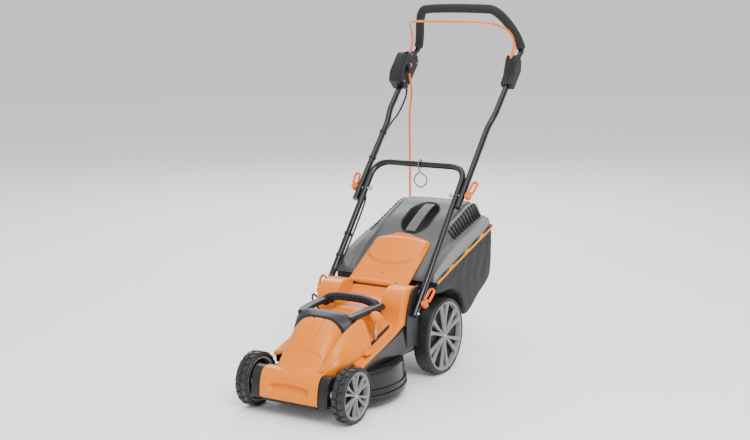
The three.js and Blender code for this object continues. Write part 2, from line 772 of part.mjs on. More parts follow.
function upperPath() {
  const path = new THREE.CurvePath();
  const line = (...ends) => path.add(new THREE.LineCurve3(...ends.map(vec)));
  const curve = (...points) => path.add(new THREE.CubicBezierCurve3(...points.map(vec)));
  const bendIn = [UPPER_X, 292, 758];
  const bendOut = [BEND_END[0], 312, 782];
  line(UPPER_START, BEND_START);
  curve(BEND_START, bendIn, bendOut, BEND_END);
  line(BEND_END, LOOP_START);
  curve(LOOP_START, LOOP_OUT, LOOP_IN, LOOP_TOP);
  line(LOOP_TOP, mirror(LOOP_TOP));
  curve(mirror(LOOP_TOP), mirror(LOOP_IN), mirror(LOOP_OUT), mirror(LOOP_START));
  line(mirror(LOOP_START), mirror(BEND_END));
  curve(mirror(BEND_END), mirror(bendOut), mirror(bendIn), mirror(BEND_START));
  line(mirror(BEND_START), mirror(UPPER_START));
  return path;
}

function makeUpperHandle() {
  const points = pointsAlong(upperPath(), BEND_STEPS);
  const tube = hollowPipe(points, TUBE, TUBE - 1.3, 10);
  piece("upper_handle", cut(tube, rodX(4.8, -220, 220, FOLD.y, FOLD.z, 8)), TUBE_PAINT);
  const beforeGrip = 1 + BEND_STEPS + 1 + 1; // sections on the leg, and the first of the loop
  const gripped = points.slice(beforeGrip, points.length - beforeGrip);
  piece("foam_grip", cut(pipe(gripped, GRIP, 10), pipe(points, TUBE + 0.5, 10)), FOAM);
}
makeUpperHandle();

// Quick-release levers: each turns outwards about a pin across the end of its bolt.
function makeCam(name, sign, at, slope, x) {
  const lever = new THREE.Group();
  lever.position.set(sign * x, at.y, at.z);
  lever.rotation.x = slope;
  mower.add(lever);
  const drum = rod([0, 0, -9], [0, 0, 9], 9, 16);
  const blade = prismZ(capsule([sign * 3, 10], [sign * 9, 46], 6), -7, 7);
  const boltRoom = sign > 0 ? box(-20, 5, -20, 5, -4.7, 4.7) : box(-5, 20, -20, 5, -4.7, 4.7);
  const mesh = new THREE.Mesh(geometryOf(cut(join(drum, blade), boltRoom)), CAM_ORANGE);
  mesh.name = name;
  lever.add(mesh);
}

const TUBE_SLOPE = Math.atan2(BEND_START[2] - FOLD.z, BEND_START[1] - FOLD.y);
for (const sign of [1, -1]) {
  makeCam("fold_cam_" + sideName(sign), sign, FOLD, TUBE_SLOPE, UPPER_X + TUBE + 10.5);
  makeCam("foot_cam_" + sideName(sign), sign, FOOT_BOLT, TUBE_SLOPE, LOWER_X + TUBE + 10.5);
}

// ---------- switch box, bail and its bracket, placed along the upper tube ----------
const LEG = { y: 425, z: 897, x: LOOP_X - 0.6 };
const LEG_SLOPE = Math.atan2(LOOP_START[2] - BEND_END[2], LOOP_START[1] - BEND_END[1]);
const leg = new THREE.Group();
leg.position.set(0, LEG.y, LEG.z);
leg.rotation.x = LEG_SLOPE;
mower.add(leg);

function onLeg(name, solid, material) {
  const mesh = new THREE.Mesh(geometryOf(solid), material);
  mesh.name = name;
  leg.add(mesh);
}

const rise = { y: BAIL_PIVOT.y - LEG.y, z: BAIL_PIVOT.z - LEG.z };
const PIVOT = {
  y: rise.y * Math.cos(LEG_SLOPE) + rise.z * Math.sin(LEG_SLOPE),
  z: rise.z * Math.cos(LEG_SLOPE) - rise.y * Math.sin(LEG_SLOPE),
};
const BAIL_X = 193.5;
const CASE = { out: 229, in: 174, split: 201, low: -52, high: 80, back: -14, front: 50 };
const BUTTON = { y: 22, z: 30, radius: 8, travel: 5 };

function makeSwitchBox() {
  const { out, split, low, high, back, front } = CASE;
  const outline = outlineOf([
    [low, back],
    [high - 14, back],
    [high, 4],
    [high, 36],
    [high - 16, front],
    [low + 26, front],
    [low, front - 18],
  ]);
  const whole = prismX(outline, -out, -CASE.in);
  const hollow = box(3.5 - out, -CASE.in - 3.5, low + 6, 40, 15, front - 4);
  const tube = rod([-LEG.x, -200, 0], [-LEG.x, 200, 0], TUBE + 0.8, 16);
  const fork = box(-BAIL_X - 7, -BAIL_X + 7, PIVOT.y - 12, high + 5, PIVOT.z - 14, front + 5);
  const pin = rodX(3.4, -BAIL_X - 16, -BAIL_X + 14, PIVOT.y, PIVOT.z, 14);
  const button = rodX(BUTTON.radius + 0.6, -CASE.in - 5, -CASE.in + 5, BUTTON.y, BUTTON.z, 20);
  const shell = cut(whole, hollow, tube, fork, pin, button);
  const between = (x0, x1) => shell.intersect(box(x0, x1, -60, 120, -60, 120));
  onLeg("switch_case_outer", between(-out - 1, -split - 0.2), DARK_GREY);
  onLeg("switch_case_inner", between(-split + 0.2, -CASE.in + 1), DARK_GREY);
  onLeg("safety_switch", box(-split - 14, -split + 12, 4, 36, 18, 42), BLACK);
  const cap = rodX(BUTTON.radius, -CASE.in - 4, -CASE.in + 5, BUTTON.y, BUTTON.z, 20);
  onLeg("lock_button", cap, CAM_ORANGE);
}
makeSwitchBox();

function makeBailBracket() {
  const outline = outlineOf([
    [-34, -14],
    [46, -14],
    [72, 10],
    [72, 38],
    [50, 40],
    [0, 16],
    [-34, 14],
  ]);
  const whole = prismX(outline, BAIL_X - 14, 222);
  const tube = rod([LEG.x, -200, 0], [LEG.x, 200, 0], TUBE + 0.8, 16);
  const fork = box(BAIL_X - 7, BAIL_X + 7, PIVOT.y - 12, 100, PIVOT.z - 14, 60);
  const pin = rodX(3.4, BAIL_X - 12, BAIL_X + 12, PIVOT.y, PIVOT.z, 14);
  onLeg("bail_bracket", cut(whole, tube, fork, pin), DARK_GREY);
}
makeBailBracket();

function makeBail() {
  const { y, z } = BAIL_PIVOT;
  const foot = [BAIL_X, y + 3, z + 6];
  const start = [BAIL_X, 463.8, 990.6];
  const out = [BAIL_X, 500.1, 1069.3];
  const into = [170, 342.7, 1085.5];
  const top = [95.1, 342.7, 1085.5];
  const path = new THREE.CurvePath();
  const line = (...ends) => path.add(new THREE.LineCurve3(...ends.map(vec)));
  const curve = (...points) => path.add(new THREE.CubicBezierCurve3(...points.map(vec)));
  line(foot, start);
  curve(start, out, into, top);
  line(top, mirror(top));
  curve(...[top, into, out, start].map(mirror));
  line(mirror(start), mirror(foot));
  const eye = (sign) => rodX(8, sign * BAIL_X - 4.5, sign * BAIL_X + 4.5, y, z, 16);
  const pin = (sign) => rodX(3, sign * BAIL_X - 11, sign * BAIL_X + 11, y, z, 14);
  piece("bail_lever", join(pipe(pointsAlong(path, 6), 3.6, 6), bothSides(eye), bothSides(pin)), ORANGE);
}
makeBail();

// ---------- rear flap and grass box ----------
function makeFlap() {
  const rings = [];
  const start = 9;
  const length = 209;
  for (let i = 0; i <= 8; i++) {
    const t = i / 8;
    const half = 107 - 5 * t;
    const crown = 17 * t * t;
    const arc = [-1, -0.66, -0.33, 0, 0.33, 0.66, 1].map((u) => [half * u, crown * (1 - u * u)]);
    const place = ([x, h]) => [
      x,
      FLAP_HINGE.y + (start + (length - start) * t) * BOX_SLIDE.y - h * BOX_SLIDE.z,
      FLAP_HINGE.z + (start + (length - start) * t) * BOX_SLIDE.z + h * BOX_SLIDE.y,
    ];
    const under = arc.map(([x, h]) => [x, h - 3]);
    rings.push([...arc, ...under.reverse()].map(place));
  }
  const knuckle = (sign) => rodX(6, sign * 84 - 14, sign * 84 + 14, FLAP_HINGE.y, FLAP_HINGE.z, 16);
  const leaf = (sign) =>
    sideBox(sign, 70, 98, FLAP_HINGE.y, FLAP_HINGE.y + 10, FLAP_HINGE.z - 3, FLAP_HINGE.z + 5);
  const pinHole = rodX(3.4, -120, 120, FLAP_HINGE.y, FLAP_HINGE.z, 14);
  piece("rear_flap", cut(join(lofted(rings), bothSides(leaf), bothSides(knuckle)), pinHole), ORANGE);
  piece("flap_hinge_pin", rodX(3, -108, 108, FLAP_HINGE.y, FLAP_HINGE.z, 14), STEEL);
  const coil = rodX(7, -24, 24, FLAP_HINGE.y, FLAP_HINGE.z, 16);
  piece("flap_spring", cut(coil, pinHole), STEEL);
}
makeFlap();

// Stations of the lid: height of the bag's upper edge, of the side band and of the middle.
const LID = [
  { y: -62, edge: 308, band: 334, shoulder: 327, middle: 317 },
  { y: 20, edge: 332, band: 372, shoulder: 388, middle: 368 },
  { y: 90, edge: 352, band: 396, shoulder: 420, middle: 406 },
  { y: 160, edge: 372, band: 414, shoulder: 447, middle: 452 },
  { y: 226, edge: 391, band: 430, shoulder: 470, middle: 479 },
  { y: 268, edge: 402, band: 440, shoulder: 484, middle: 494 },
  { y: 320, edge: 417, band: 446, shoulder: 484, middle: 493 },
  { y: 345, edge: 424, band: 436, shoulder: 458, middle: 466 },
];

function lidRing({ y, edge, band, shoulder, middle }) {
  const narrow = y > 330 ? 16 : 0;
  const half = [
    [180 - narrow, edge + 1],
    [179 - narrow, band],
    [150 - narrow, band + 6],
    [134 - narrow, shoulder],
    [114, shoulder + 0.5],
    [108, middle],
  ];
  const line = [...half.map(([x, z]) => [-x, z]), ...half.reverse()];
  return stripPoints(line, -3).map(([x, z]) => [x, y, z]);
}

function makeGrassBox() {
  const rings = LID.map(lidRing);
  const dish = prismZ(capsule([0, 150], [0, 196], 52), 380, 520);
  const floorAt = (y) => 380 + (y - 100) * 0.5;
  const dishRings = [98, 248].map((y) => {
    const z = floorAt(y);
    return [[-56, z], [56, z], [56, z + 3], [-56, z + 3]].map(([x, h]) => [x, y, h]);
  });
  const dishWall = cut(prismZ(capsule([0, 150], [0, 196], 54.5), 390, 500), dish);
  const underLid = [[90, 407], [90, 376], [252, 457], [252, 490], [226, 479], [160, 452]];
  const dishSide = dishWall.intersect(prismX(outlineOf(underLid), -60, 60));
  const dishFloor = lofted(dishRings).intersect(prismZ(capsule([0, 150], [0, 196], 54.5), 300, 520));
  const tongue = lofted(
    [[-104, 294.5], [-60, 317]].map(([y, z]) => [[-97, y, z - 3], [97, y, z - 3], [97, y, z], [-97, y, z]]),
  );
  piece("box_lid", join(cut(lofted(rings), dish), dishSide, dishFloor, tongue), LID_GREY);
  const strapTop = [[104, 427], [150, 452], [200, 475], [238, 488]];
  const strapRings = strapTop.map(([y, z]) =>
    [[-17, z - 4], [17, z - 4], [17, z], [-17, z]].map(([x, h]) => [x, y, h]),
  );
  piece("box_grip", lofted(strapRings), SILVER_PLASTIC);

  const side = [
    [-60, 306],
    [-56, 268],
    [-20, 259],
    [60, 256],
    [112, 222],
    [134, 170],
    [160, 152],
    [325, 240],
    [330, 300],
    [330, 419],
  ];
  const inner = [
    [-57, 330],
    [-53, 271],
    [-20, 262],
    [61, 259],
    [115, 224],
    [137, 172],
    [161, 156],
    [322, 242],
    [327, 301],
    [327, 440],
  ];
  const lower = [[-86, 290], [-86, 152], [100, 152], [140, 175], [160, 260], [0, 300]];
  const lowerIn = [[-95, 286], [-95, 156], [99, 156], [146, 190], [160, 300], [0, 330]];
  const bag = cut(
    join(prismX(outlineOf(side), -179, 179), prismX(outlineOf(lower), -97, 97)),
    prismX(outlineOf(inner), -176, 176),
    prismX(outlineOf(lowerIn), -94, 94),
    box(-94, 94, -100, 100, 283, 300),
  );
  piece("grass_bag", bag, FABRIC);

  const frame = cut(box(-98, 98, -108, -86.5, 151, 291), box(-93, 93, -120, -80, 156, 283));
  piece("box_mouth_frame", frame, DARK_GREY);
  const halfTrim = [
    [183, -58, 303],
    [184, 20, 328],
    [184, 160, 368],
    [184, 322, 413],
    [183, 332.5, 416],
    [178, 335, 417.5],
  ];
  const trim = [...halfTrim, [0, 335, 419], ...[...halfTrim].reverse().map(mirror)];
  piece("bag_trim", pipe(trim.map(vec), 3, 6), ORANGE);
}
makeGrassBox();

// ---------- cables ----------
function makeCables() {
  const leanOf = (from, to) => Math.atan2(to.z - from.z, to.y - from.y);
  // A point beside a tube: along it, across towards the middle plane, and out below it.
  const beside = (from, lean, x) => (along, across, below) => [
    x + across,
    from.y + along * Math.cos(lean) + below * Math.sin(lean),
    from.z + along * Math.sin(lean) - below * Math.cos(lean),
  ];
  const onLower = beside(LOWER_FOOT, leanOf(LOWER_FOOT, CROSSBAR), -LOWER_X);
  const onUpper = beside(FOLD, TUBE_SLOPE, -UPPER_X);
  const under = TUBE + CABLE + 1.4;
  const foldAlong = Math.hypot(FOLD.y - LOWER_FOOT.y, FOLD.z - LOWER_FOOT.z);
  const lower = smooth(
    [
      [-112, -262, 226],
      [-134, -258, 240],
      [-156, -242, 253],
      [-167, -222, 262],
      onLower(-12, 0, -under - 3),
      onLower(20, 0, -under - 1),
      onLower(60, 0, -under),
      onLower(96, 11, -10),
      onLower(132, under, 0),
      onLower(180, 11, 10),
      onLower(foldAlong - 60, 11, 10),
      onLower(foldAlong - 28, 4, under),
      onLower(foldAlong - 4, -5, under),
    ],
    3,
  );
  piece("motor_cable_lower", pipe(lower, CABLE, 8), BLACK);
  const upper = smooth(
    [
      onUpper(56, 0, under),
      onUpper(150, 0, under),
      onUpper(236, -1, under),
      [-190, 318, 746],
      [-192, 356, 764],
      [-193, 394, 792],
      [-192, 421, 826],
      [-191, 425, 851],
      [-191, 414.8, 864.8],
    ],
    3,
  );
  piece("motor_cable_upper", pipe(upper, CABLE, 8), BLACK);

  const exit = [-167.5, 398, 938];
  const glandEnd = [-167.5, 402, 908];
  const elbow = rodX(6, -173.6, -164, exit[1], exit[2], 12);
  piece("lead_gland", join(elbow, rod(exit, glandEnd, 5.5, 12, 4.6)), BLACK);
  const hang = smooth(
    [
      [-167.5, 402.1, 907.5],
      [-167.5, 405, 893],
      [-169, 416, 868],
      [-178, 436, 838],
      [-189, 451, 806],
      [-196, 456, 770],
      [-196, 456, 400],
      [-196, 456, 60],
      [-195.5, 453, 30],
      [-194, 442, 13],
      [-190, 424, 5],
      [-183, 402, 4.2],
      [-175, 381, 4.2],
      [-171, 364, 4.2],
    ],
    3,
  );
  piece("mains_lead", pipe(hang, LEAD, 8), LEAD_ORANGE);
  const { x, y, mean, half } = COIL;
  const section = [];
  for (let i = 0; i < 8; i++) {
    const angle = (Math.PI * (i + 0.5)) / 4;
    section.push([mean + half * Math.cos(angle), half + 0.5 + half * Math.sin(angle)]);
  }
  piece("mains_coil", turned([...section, section[0]], 28, x, y), LEAD_ORANGE);
  const neck = rod([PLUG.x, PLUG.y, PLUG.z], [PLUG.x + 22, PLUG.y, PLUG.z], 5.5, 12, 8);
  const body = rod([PLUG.x + 21, PLUG.y, PLUG.z], [PLUG.x + 52, PLUG.y, PLUG.z], 13, 16, 16.6);
  const prongs = [9.5, -9.5].map((z) =>
    rod([PLUG.x + 50, PLUG.y, PLUG.z + z], [PLUG.x + 71, PLUG.y, PLUG.z + z], 2.4, 10),
  );
  piece("mains_plug", join(neck, body, prongs), BLACK);
}
makeCables();

export default mower;
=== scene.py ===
"""The looks of a corded rotary lawn mower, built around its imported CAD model.

Lengths in this file are millimetres unless a name says otherwise. Y = 0 is the rear wheels' axis,
Z = 0 the ground and X = 0 the middle plane, and at() turns such a point into the frame's metres.
"""

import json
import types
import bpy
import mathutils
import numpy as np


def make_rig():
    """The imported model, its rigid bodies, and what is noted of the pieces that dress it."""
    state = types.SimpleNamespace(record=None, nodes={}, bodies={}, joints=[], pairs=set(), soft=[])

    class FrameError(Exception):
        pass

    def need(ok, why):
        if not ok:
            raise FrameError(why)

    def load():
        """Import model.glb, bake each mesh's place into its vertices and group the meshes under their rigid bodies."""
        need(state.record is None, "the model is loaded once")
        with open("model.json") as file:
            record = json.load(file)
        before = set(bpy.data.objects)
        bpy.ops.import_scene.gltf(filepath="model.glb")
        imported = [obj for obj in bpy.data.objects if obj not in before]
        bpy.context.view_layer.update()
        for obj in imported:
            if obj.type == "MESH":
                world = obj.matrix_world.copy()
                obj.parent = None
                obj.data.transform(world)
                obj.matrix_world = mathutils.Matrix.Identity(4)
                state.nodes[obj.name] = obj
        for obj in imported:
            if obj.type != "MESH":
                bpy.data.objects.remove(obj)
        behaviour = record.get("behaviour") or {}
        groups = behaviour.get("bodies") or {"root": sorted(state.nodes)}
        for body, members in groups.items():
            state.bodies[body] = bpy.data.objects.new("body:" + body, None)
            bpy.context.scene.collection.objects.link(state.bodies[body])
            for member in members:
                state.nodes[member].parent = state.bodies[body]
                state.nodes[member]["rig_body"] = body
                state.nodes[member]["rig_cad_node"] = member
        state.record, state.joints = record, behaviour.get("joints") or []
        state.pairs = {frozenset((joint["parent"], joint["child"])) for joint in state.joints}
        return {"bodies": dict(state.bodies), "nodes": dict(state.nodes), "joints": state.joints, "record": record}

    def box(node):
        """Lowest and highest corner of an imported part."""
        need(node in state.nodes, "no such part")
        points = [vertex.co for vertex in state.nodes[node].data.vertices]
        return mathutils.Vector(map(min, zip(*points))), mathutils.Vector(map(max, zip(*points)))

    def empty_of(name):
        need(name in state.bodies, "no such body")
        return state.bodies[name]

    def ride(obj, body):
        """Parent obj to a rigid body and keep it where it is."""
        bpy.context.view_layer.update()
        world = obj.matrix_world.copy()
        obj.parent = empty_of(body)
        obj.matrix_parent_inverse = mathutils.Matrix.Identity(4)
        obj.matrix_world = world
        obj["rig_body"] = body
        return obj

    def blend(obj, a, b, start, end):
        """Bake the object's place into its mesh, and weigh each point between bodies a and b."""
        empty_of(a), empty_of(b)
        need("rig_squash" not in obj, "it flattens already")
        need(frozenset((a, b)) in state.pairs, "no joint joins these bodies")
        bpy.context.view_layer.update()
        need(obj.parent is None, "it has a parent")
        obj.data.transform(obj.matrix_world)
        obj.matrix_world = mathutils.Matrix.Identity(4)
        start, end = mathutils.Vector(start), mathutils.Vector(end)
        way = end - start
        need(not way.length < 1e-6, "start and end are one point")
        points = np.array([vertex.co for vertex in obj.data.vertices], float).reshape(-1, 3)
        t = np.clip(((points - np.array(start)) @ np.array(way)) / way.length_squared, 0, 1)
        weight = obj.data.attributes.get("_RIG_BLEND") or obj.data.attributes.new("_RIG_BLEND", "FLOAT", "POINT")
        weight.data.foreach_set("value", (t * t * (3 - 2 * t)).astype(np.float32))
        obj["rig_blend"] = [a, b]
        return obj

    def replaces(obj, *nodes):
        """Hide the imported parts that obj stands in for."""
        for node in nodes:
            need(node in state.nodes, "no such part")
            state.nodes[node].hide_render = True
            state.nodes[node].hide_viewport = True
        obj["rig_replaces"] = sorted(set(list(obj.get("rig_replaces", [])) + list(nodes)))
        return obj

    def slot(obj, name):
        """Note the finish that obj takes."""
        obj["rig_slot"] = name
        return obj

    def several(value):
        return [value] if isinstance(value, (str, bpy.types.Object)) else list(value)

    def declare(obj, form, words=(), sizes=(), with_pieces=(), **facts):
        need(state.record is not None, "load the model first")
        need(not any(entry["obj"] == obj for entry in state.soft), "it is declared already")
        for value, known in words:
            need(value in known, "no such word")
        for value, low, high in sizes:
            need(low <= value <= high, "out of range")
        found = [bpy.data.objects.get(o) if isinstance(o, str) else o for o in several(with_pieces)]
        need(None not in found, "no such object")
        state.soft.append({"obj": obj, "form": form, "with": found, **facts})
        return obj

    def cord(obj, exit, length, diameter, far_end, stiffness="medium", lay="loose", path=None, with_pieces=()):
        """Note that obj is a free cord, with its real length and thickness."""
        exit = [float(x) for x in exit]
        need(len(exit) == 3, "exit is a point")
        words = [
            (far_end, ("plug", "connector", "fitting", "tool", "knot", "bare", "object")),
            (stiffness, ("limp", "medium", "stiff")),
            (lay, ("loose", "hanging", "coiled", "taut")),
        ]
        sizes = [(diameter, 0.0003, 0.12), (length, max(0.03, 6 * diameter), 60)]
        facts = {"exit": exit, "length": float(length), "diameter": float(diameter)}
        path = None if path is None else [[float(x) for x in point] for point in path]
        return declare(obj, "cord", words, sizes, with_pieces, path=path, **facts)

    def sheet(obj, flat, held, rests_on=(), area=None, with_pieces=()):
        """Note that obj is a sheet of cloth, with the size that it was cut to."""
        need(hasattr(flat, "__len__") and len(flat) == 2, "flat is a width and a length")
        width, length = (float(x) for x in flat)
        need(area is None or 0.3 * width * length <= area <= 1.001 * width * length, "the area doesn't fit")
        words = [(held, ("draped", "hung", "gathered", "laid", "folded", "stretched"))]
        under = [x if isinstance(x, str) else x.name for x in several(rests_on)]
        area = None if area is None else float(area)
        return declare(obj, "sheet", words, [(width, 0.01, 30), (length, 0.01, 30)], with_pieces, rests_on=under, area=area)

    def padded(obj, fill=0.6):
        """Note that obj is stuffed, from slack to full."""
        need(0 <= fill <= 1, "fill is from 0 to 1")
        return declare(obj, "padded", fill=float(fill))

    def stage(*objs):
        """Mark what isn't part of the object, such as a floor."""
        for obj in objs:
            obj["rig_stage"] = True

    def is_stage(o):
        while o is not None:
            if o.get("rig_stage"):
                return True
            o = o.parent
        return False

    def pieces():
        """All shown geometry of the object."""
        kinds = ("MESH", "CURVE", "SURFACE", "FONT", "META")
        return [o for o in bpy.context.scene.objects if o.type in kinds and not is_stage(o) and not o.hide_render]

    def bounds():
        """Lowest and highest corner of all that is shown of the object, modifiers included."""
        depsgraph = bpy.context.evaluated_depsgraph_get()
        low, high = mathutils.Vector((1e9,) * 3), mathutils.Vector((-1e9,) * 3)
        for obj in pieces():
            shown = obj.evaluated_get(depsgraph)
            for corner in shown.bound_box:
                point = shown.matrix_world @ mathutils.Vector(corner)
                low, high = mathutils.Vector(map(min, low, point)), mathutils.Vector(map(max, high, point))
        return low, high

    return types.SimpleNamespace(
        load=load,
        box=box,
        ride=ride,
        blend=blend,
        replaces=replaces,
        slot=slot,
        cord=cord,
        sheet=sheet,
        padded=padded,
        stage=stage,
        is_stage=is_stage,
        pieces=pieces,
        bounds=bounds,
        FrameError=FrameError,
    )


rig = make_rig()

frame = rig.load()
CAD_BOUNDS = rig.bounds()

import json
import math

import bmesh
import bpy
from mathutils import Matrix, Quaternion, Vector, noise

MM = 0.001
REAR_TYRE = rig.box("rear_wheel_left_tyre")
AXIS_Y = (REAR_TYRE[0].y + REAR_TYRE[1].y) / 2 / MM

DECK = {"y": -330, "radius": 184, "wall_x": 148}
TUBE = 10
LOWER_X = 167
UPPER_X = 187.5
LOWER_FOOT = (-163, 242)
FOLD = (101, 551)
UPPER_BEND = (275, 740)
CROSSBAR = (172, 631)
LOWER_LEAN = math.atan2(CROSSBAR[1] - LOWER_FOOT[1], CROSSBAR[0] - LOWER_FOOT[0])
LOOP_X = 199
GRIP = 15
BAIL_PIVOT = (450, 962)
BAIL_X = 193.5
FLAP_HINGE = (-116, 296)
FLAP_SLOPE = math.atan2(107, 178)
LEAD = 3.75
CABLE = 3.2
COIL = {"x": -80, "y": 345, "mean": 67.5}
PLUG = (-22, 258, 17)


def at(x, y, z):
    return Vector((x, y + AXIS_Y, z)) * MM


def smoothstep(low, high, value):
    t = min(max((value - low) / (high - low), 0.0), 1.0)
    return t * t * (3 - 2 * t)


def mix(a, b, t):
    return a + (b - a) * t


# ---------- camera, floor and light ----------
def look(azimuth, pitch, roll):
    """The turn of a camera that looks at the mower's front from azimuth, and down by pitch."""
    back = Vector((math.sin(azimuth) * math.cos(pitch), -math.cos(azimuth) * math.cos(pitch),
                   math.sin(pitch)))
    right = Vector((math.cos(azimuth), math.sin(azimuth), 0))
    turn = Matrix((right, back.cross(right), back)).transposed().to_quaternion()
    return turn @ Quaternion((0, 0, 1), roll)


camera_data = bpy.data.cameras.new("camera")
camera_data.lens = 60.05
camera_data.sensor_width = 36
camera = bpy.data.objects.new("camera", camera_data)
camera.rotation_mode = "QUATERNION"
camera.rotation_quaternion = look(math.radians(30.57), math.radians(10.66), math.radians(-0.49))
camera.location = (1.925, -3.3415, 1.2076)
bpy.context.scene.collection.objects.link(camera)
bpy.context.scene.camera = camera


def area_light(name, location, target, size, power, color=(1, 1, 1)):
    data = bpy.data.lights.new(name, "AREA")
    data.shape = "RECTANGLE"
    data.size, data.size_y = size
    data.energy = power
    data.color = color
    light = bpy.data.objects.new(name, data)
    light.location = location
    light.rotation_mode = "QUATERNION"
    light.rotation_quaternion = (Vector(target) - Vector(location)).to_track_quat("-Z", "Y")
    bpy.context.scene.collection.objects.link(light)


area_light("key", (2.6, -2.2, 3.4), (0, 0, 0.4), (2.6, 2.0), 225)
area_light("fill", (-3.2, -2.6, 2.2), (0, 0, 0.4), (2.6, 2.6), 30)
area_light("rim", (-1.8, 3.0, 2.8), (0, 0, 0.5), (2.4, 1.6), 95)
area_light("top", (0, 0, 4.0), (0, 0, 0), (3.0, 3.0), 80)

world = bpy.data.worlds.new("studio")
world.use_nodes = True
background = world.node_tree.nodes["Background"]
background.inputs["Color"].default_value = (1, 1, 1, 1)
background.inputs["Strength"].default_value = 0.88
bpy.context.scene.world = world


# ---------- materials ----------
def shader_of(material):
    return material.node_tree.nodes["Principled BSDF"]


def surface(name, color, roughness, metallic=0.0, coat=0.0, specular=0.5):
    """A material of even values; the functions below add what varies."""
    material = bpy.data.materials.new(name)
    material.use_nodes = True
    shader = shader_of(material)
    shader.inputs["Base Color"].default_value = (*color, 1)
    shader.inputs["Roughness"].default_value = roughness
    shader.inputs["Metallic"].default_value = metallic
    shader.inputs["Coat Weight"].default_value = coat
    shader.inputs["Coat Roughness"].default_value = 0.12
    shader.inputs["Specular IOR Level"].default_value = specular
    return material


def add(material, kind, **inputs):
    node = material.node_tree.nodes.new(kind)
    for name, value in inputs.items():
        node.inputs[name.replace("_", " ")].default_value = value
    return node


def link(material, source, target):
    material.node_tree.links.new(source, target)


def grain(material, scale, stretch=(1, 1, 1), detail=3.0, roughness=0.6):
    """A noise in the object's own metres, stretched along an axis where stretch is under 1."""
    place = add(material, "ShaderNodeTexCoord")
    mapping = add(material, "ShaderNodeMapping", Scale=stretch)
    texture = add(material, "ShaderNodeTexNoise", Scale=scale, Detail=detail, Roughness=roughness)
    link(material, place.outputs["Object"], mapping.inputs["Vector"])
    link(material, mapping.outputs["Vector"], texture.inputs["Vector"])
    return texture


def vary_color(material, source, low, high):
    ramp = add(material, "ShaderNodeValToRGB")
    for stop, position, color in zip(ramp.color_ramp.elements, (0.3, 0.7), (low, high)):
        stop.position = position
        stop.color = (*color, 1)
    link(material, source, ramp.inputs["Fac"])
    link(material, ramp.outputs["Color"], shader_of(material).inputs["Base Color"])


def vary_roughness(material, source, low, high):
    span = add(material, "ShaderNodeMapRange")
    span.inputs["To Min"].default_value = low
    span.inputs["To Max"].default_value = high
    link(material, source, span.inputs["Value"])
    link(material, span.outputs["Result"], shader_of(material).inputs["Roughness"])


def bump(material, source, height_mm, strength=1.0):
    node = add(material, "ShaderNodeBump", Strength=strength, Distance=height_mm * MM)
    link(material, source, node.inputs["Height"])
    link(material, node.outputs["Normal"], shader_of(material).inputs["Normal"])


def moulded(name, color, roughness, coat=0.0, texture_mm=0.05, spread=0.06, scale=900):
    """Moulded plastic: fine texture, faint unevenness of gloss and of colour."""
    material = surface(name, color, roughness, coat=coat, specular=0.3)
    fine = grain(material, scale)
    broad = grain(material, 14, detail=2)
    darker = tuple(c * (1 - spread) for c in color)
    lighter = tuple(min(c * (1 + spread), 1) for c in color)
    vary_color(material, broad.outputs["Fac"], darker, lighter)
    vary_roughness(material, broad.outputs["Fac"], roughness - 0.05, roughness + 0.07)
    bump(material, fine.outputs["Fac"], texture_mm, 0.35)
    return material


def metal(name, color, roughness, stretch=(1, 1, 1)):
    """Bare metal with a drawn or brushed grain along the axis that stretch shortens."""
    material = surface(name, color, roughness, metallic=1)
    fine = grain(material, 1400, stretch)
    vary_roughness(material, fine.outputs["Fac"], roughness - 0.08, roughness + 0.14)
    bump(material, fine.outputs["Fac"], 0.02, 0.3)
    return material


def rubber(name, color, roughness, dust=1.25):
    material = surface(name, color, roughness)
    broad = grain(material, 30, detail=4)
    fine = grain(material, 1100)
    vary_color(material, broad.outputs["Fac"], color, tuple(c * dust for c in color))
    vary_roughness(material, broad.outputs["Fac"], roughness - 0.06, roughness + 0.1)
    bump(material, fine.outputs["Fac"], 0.06, 0.4)
    return material


def foam_material():
    """Closed-cell foam: small open cells cut through at the surface, their pits painted darker as painted shade."""
    material = surface("foam", (0.03, 0.03, 0.032), 0.85)
    place = add(material, "ShaderNodeTexCoord")
    cells = add(material, "ShaderNodeTexVoronoi", Scale=620.0)
    link(material, place.outputs["Object"], cells.inputs["Vector"])
    # Painted shade: the colour darkens towards each cell's middle, where the bump sinks into a pit.
    vary_color(material, cells.outputs["Distance"], (0.006, 0.006, 0.0065), (0.016, 0.016, 0.017))
    bump(material, cells.outputs["Distance"], 0.25, 0.6)
    return material


def fabric_material():
    """Coated woven cloth: threads along and across, with a slight unevenness of shade."""
    material = surface("bag_cloth", (0.03, 0.031, 0.034), 0.62, specular=0.35)
    place = add(material, "ShaderNodeTexCoord")
    waves = []
    for direction in ("Y", "Z"):
        wave = add(material, "ShaderNodeTexWave", Scale=190.0, Distortion=0.6)
        wave.bands_direction = direction
        link(material, place.outputs["Object"], wave.inputs["Vector"])
        waves.append(wave)
    weave = add(material, "ShaderNodeMath")
    weave.operation = "MULTIPLY"
    link(material, waves[0].outputs["Fac"], weave.inputs[0])
    link(material, waves[1].outputs["Fac"], weave.inputs[1])
    broad = grain(material, 9, detail=4)
    vary_color(material, broad.outputs["Fac"], (0.005, 0.0053, 0.006), (0.009, 0.0095, 0.011))
    vary_roughness(material, weave.outputs["Value"], 0.5, 0.72)
    bump(material, weave.outputs["Value"], 0.25, 0.5)
    return material


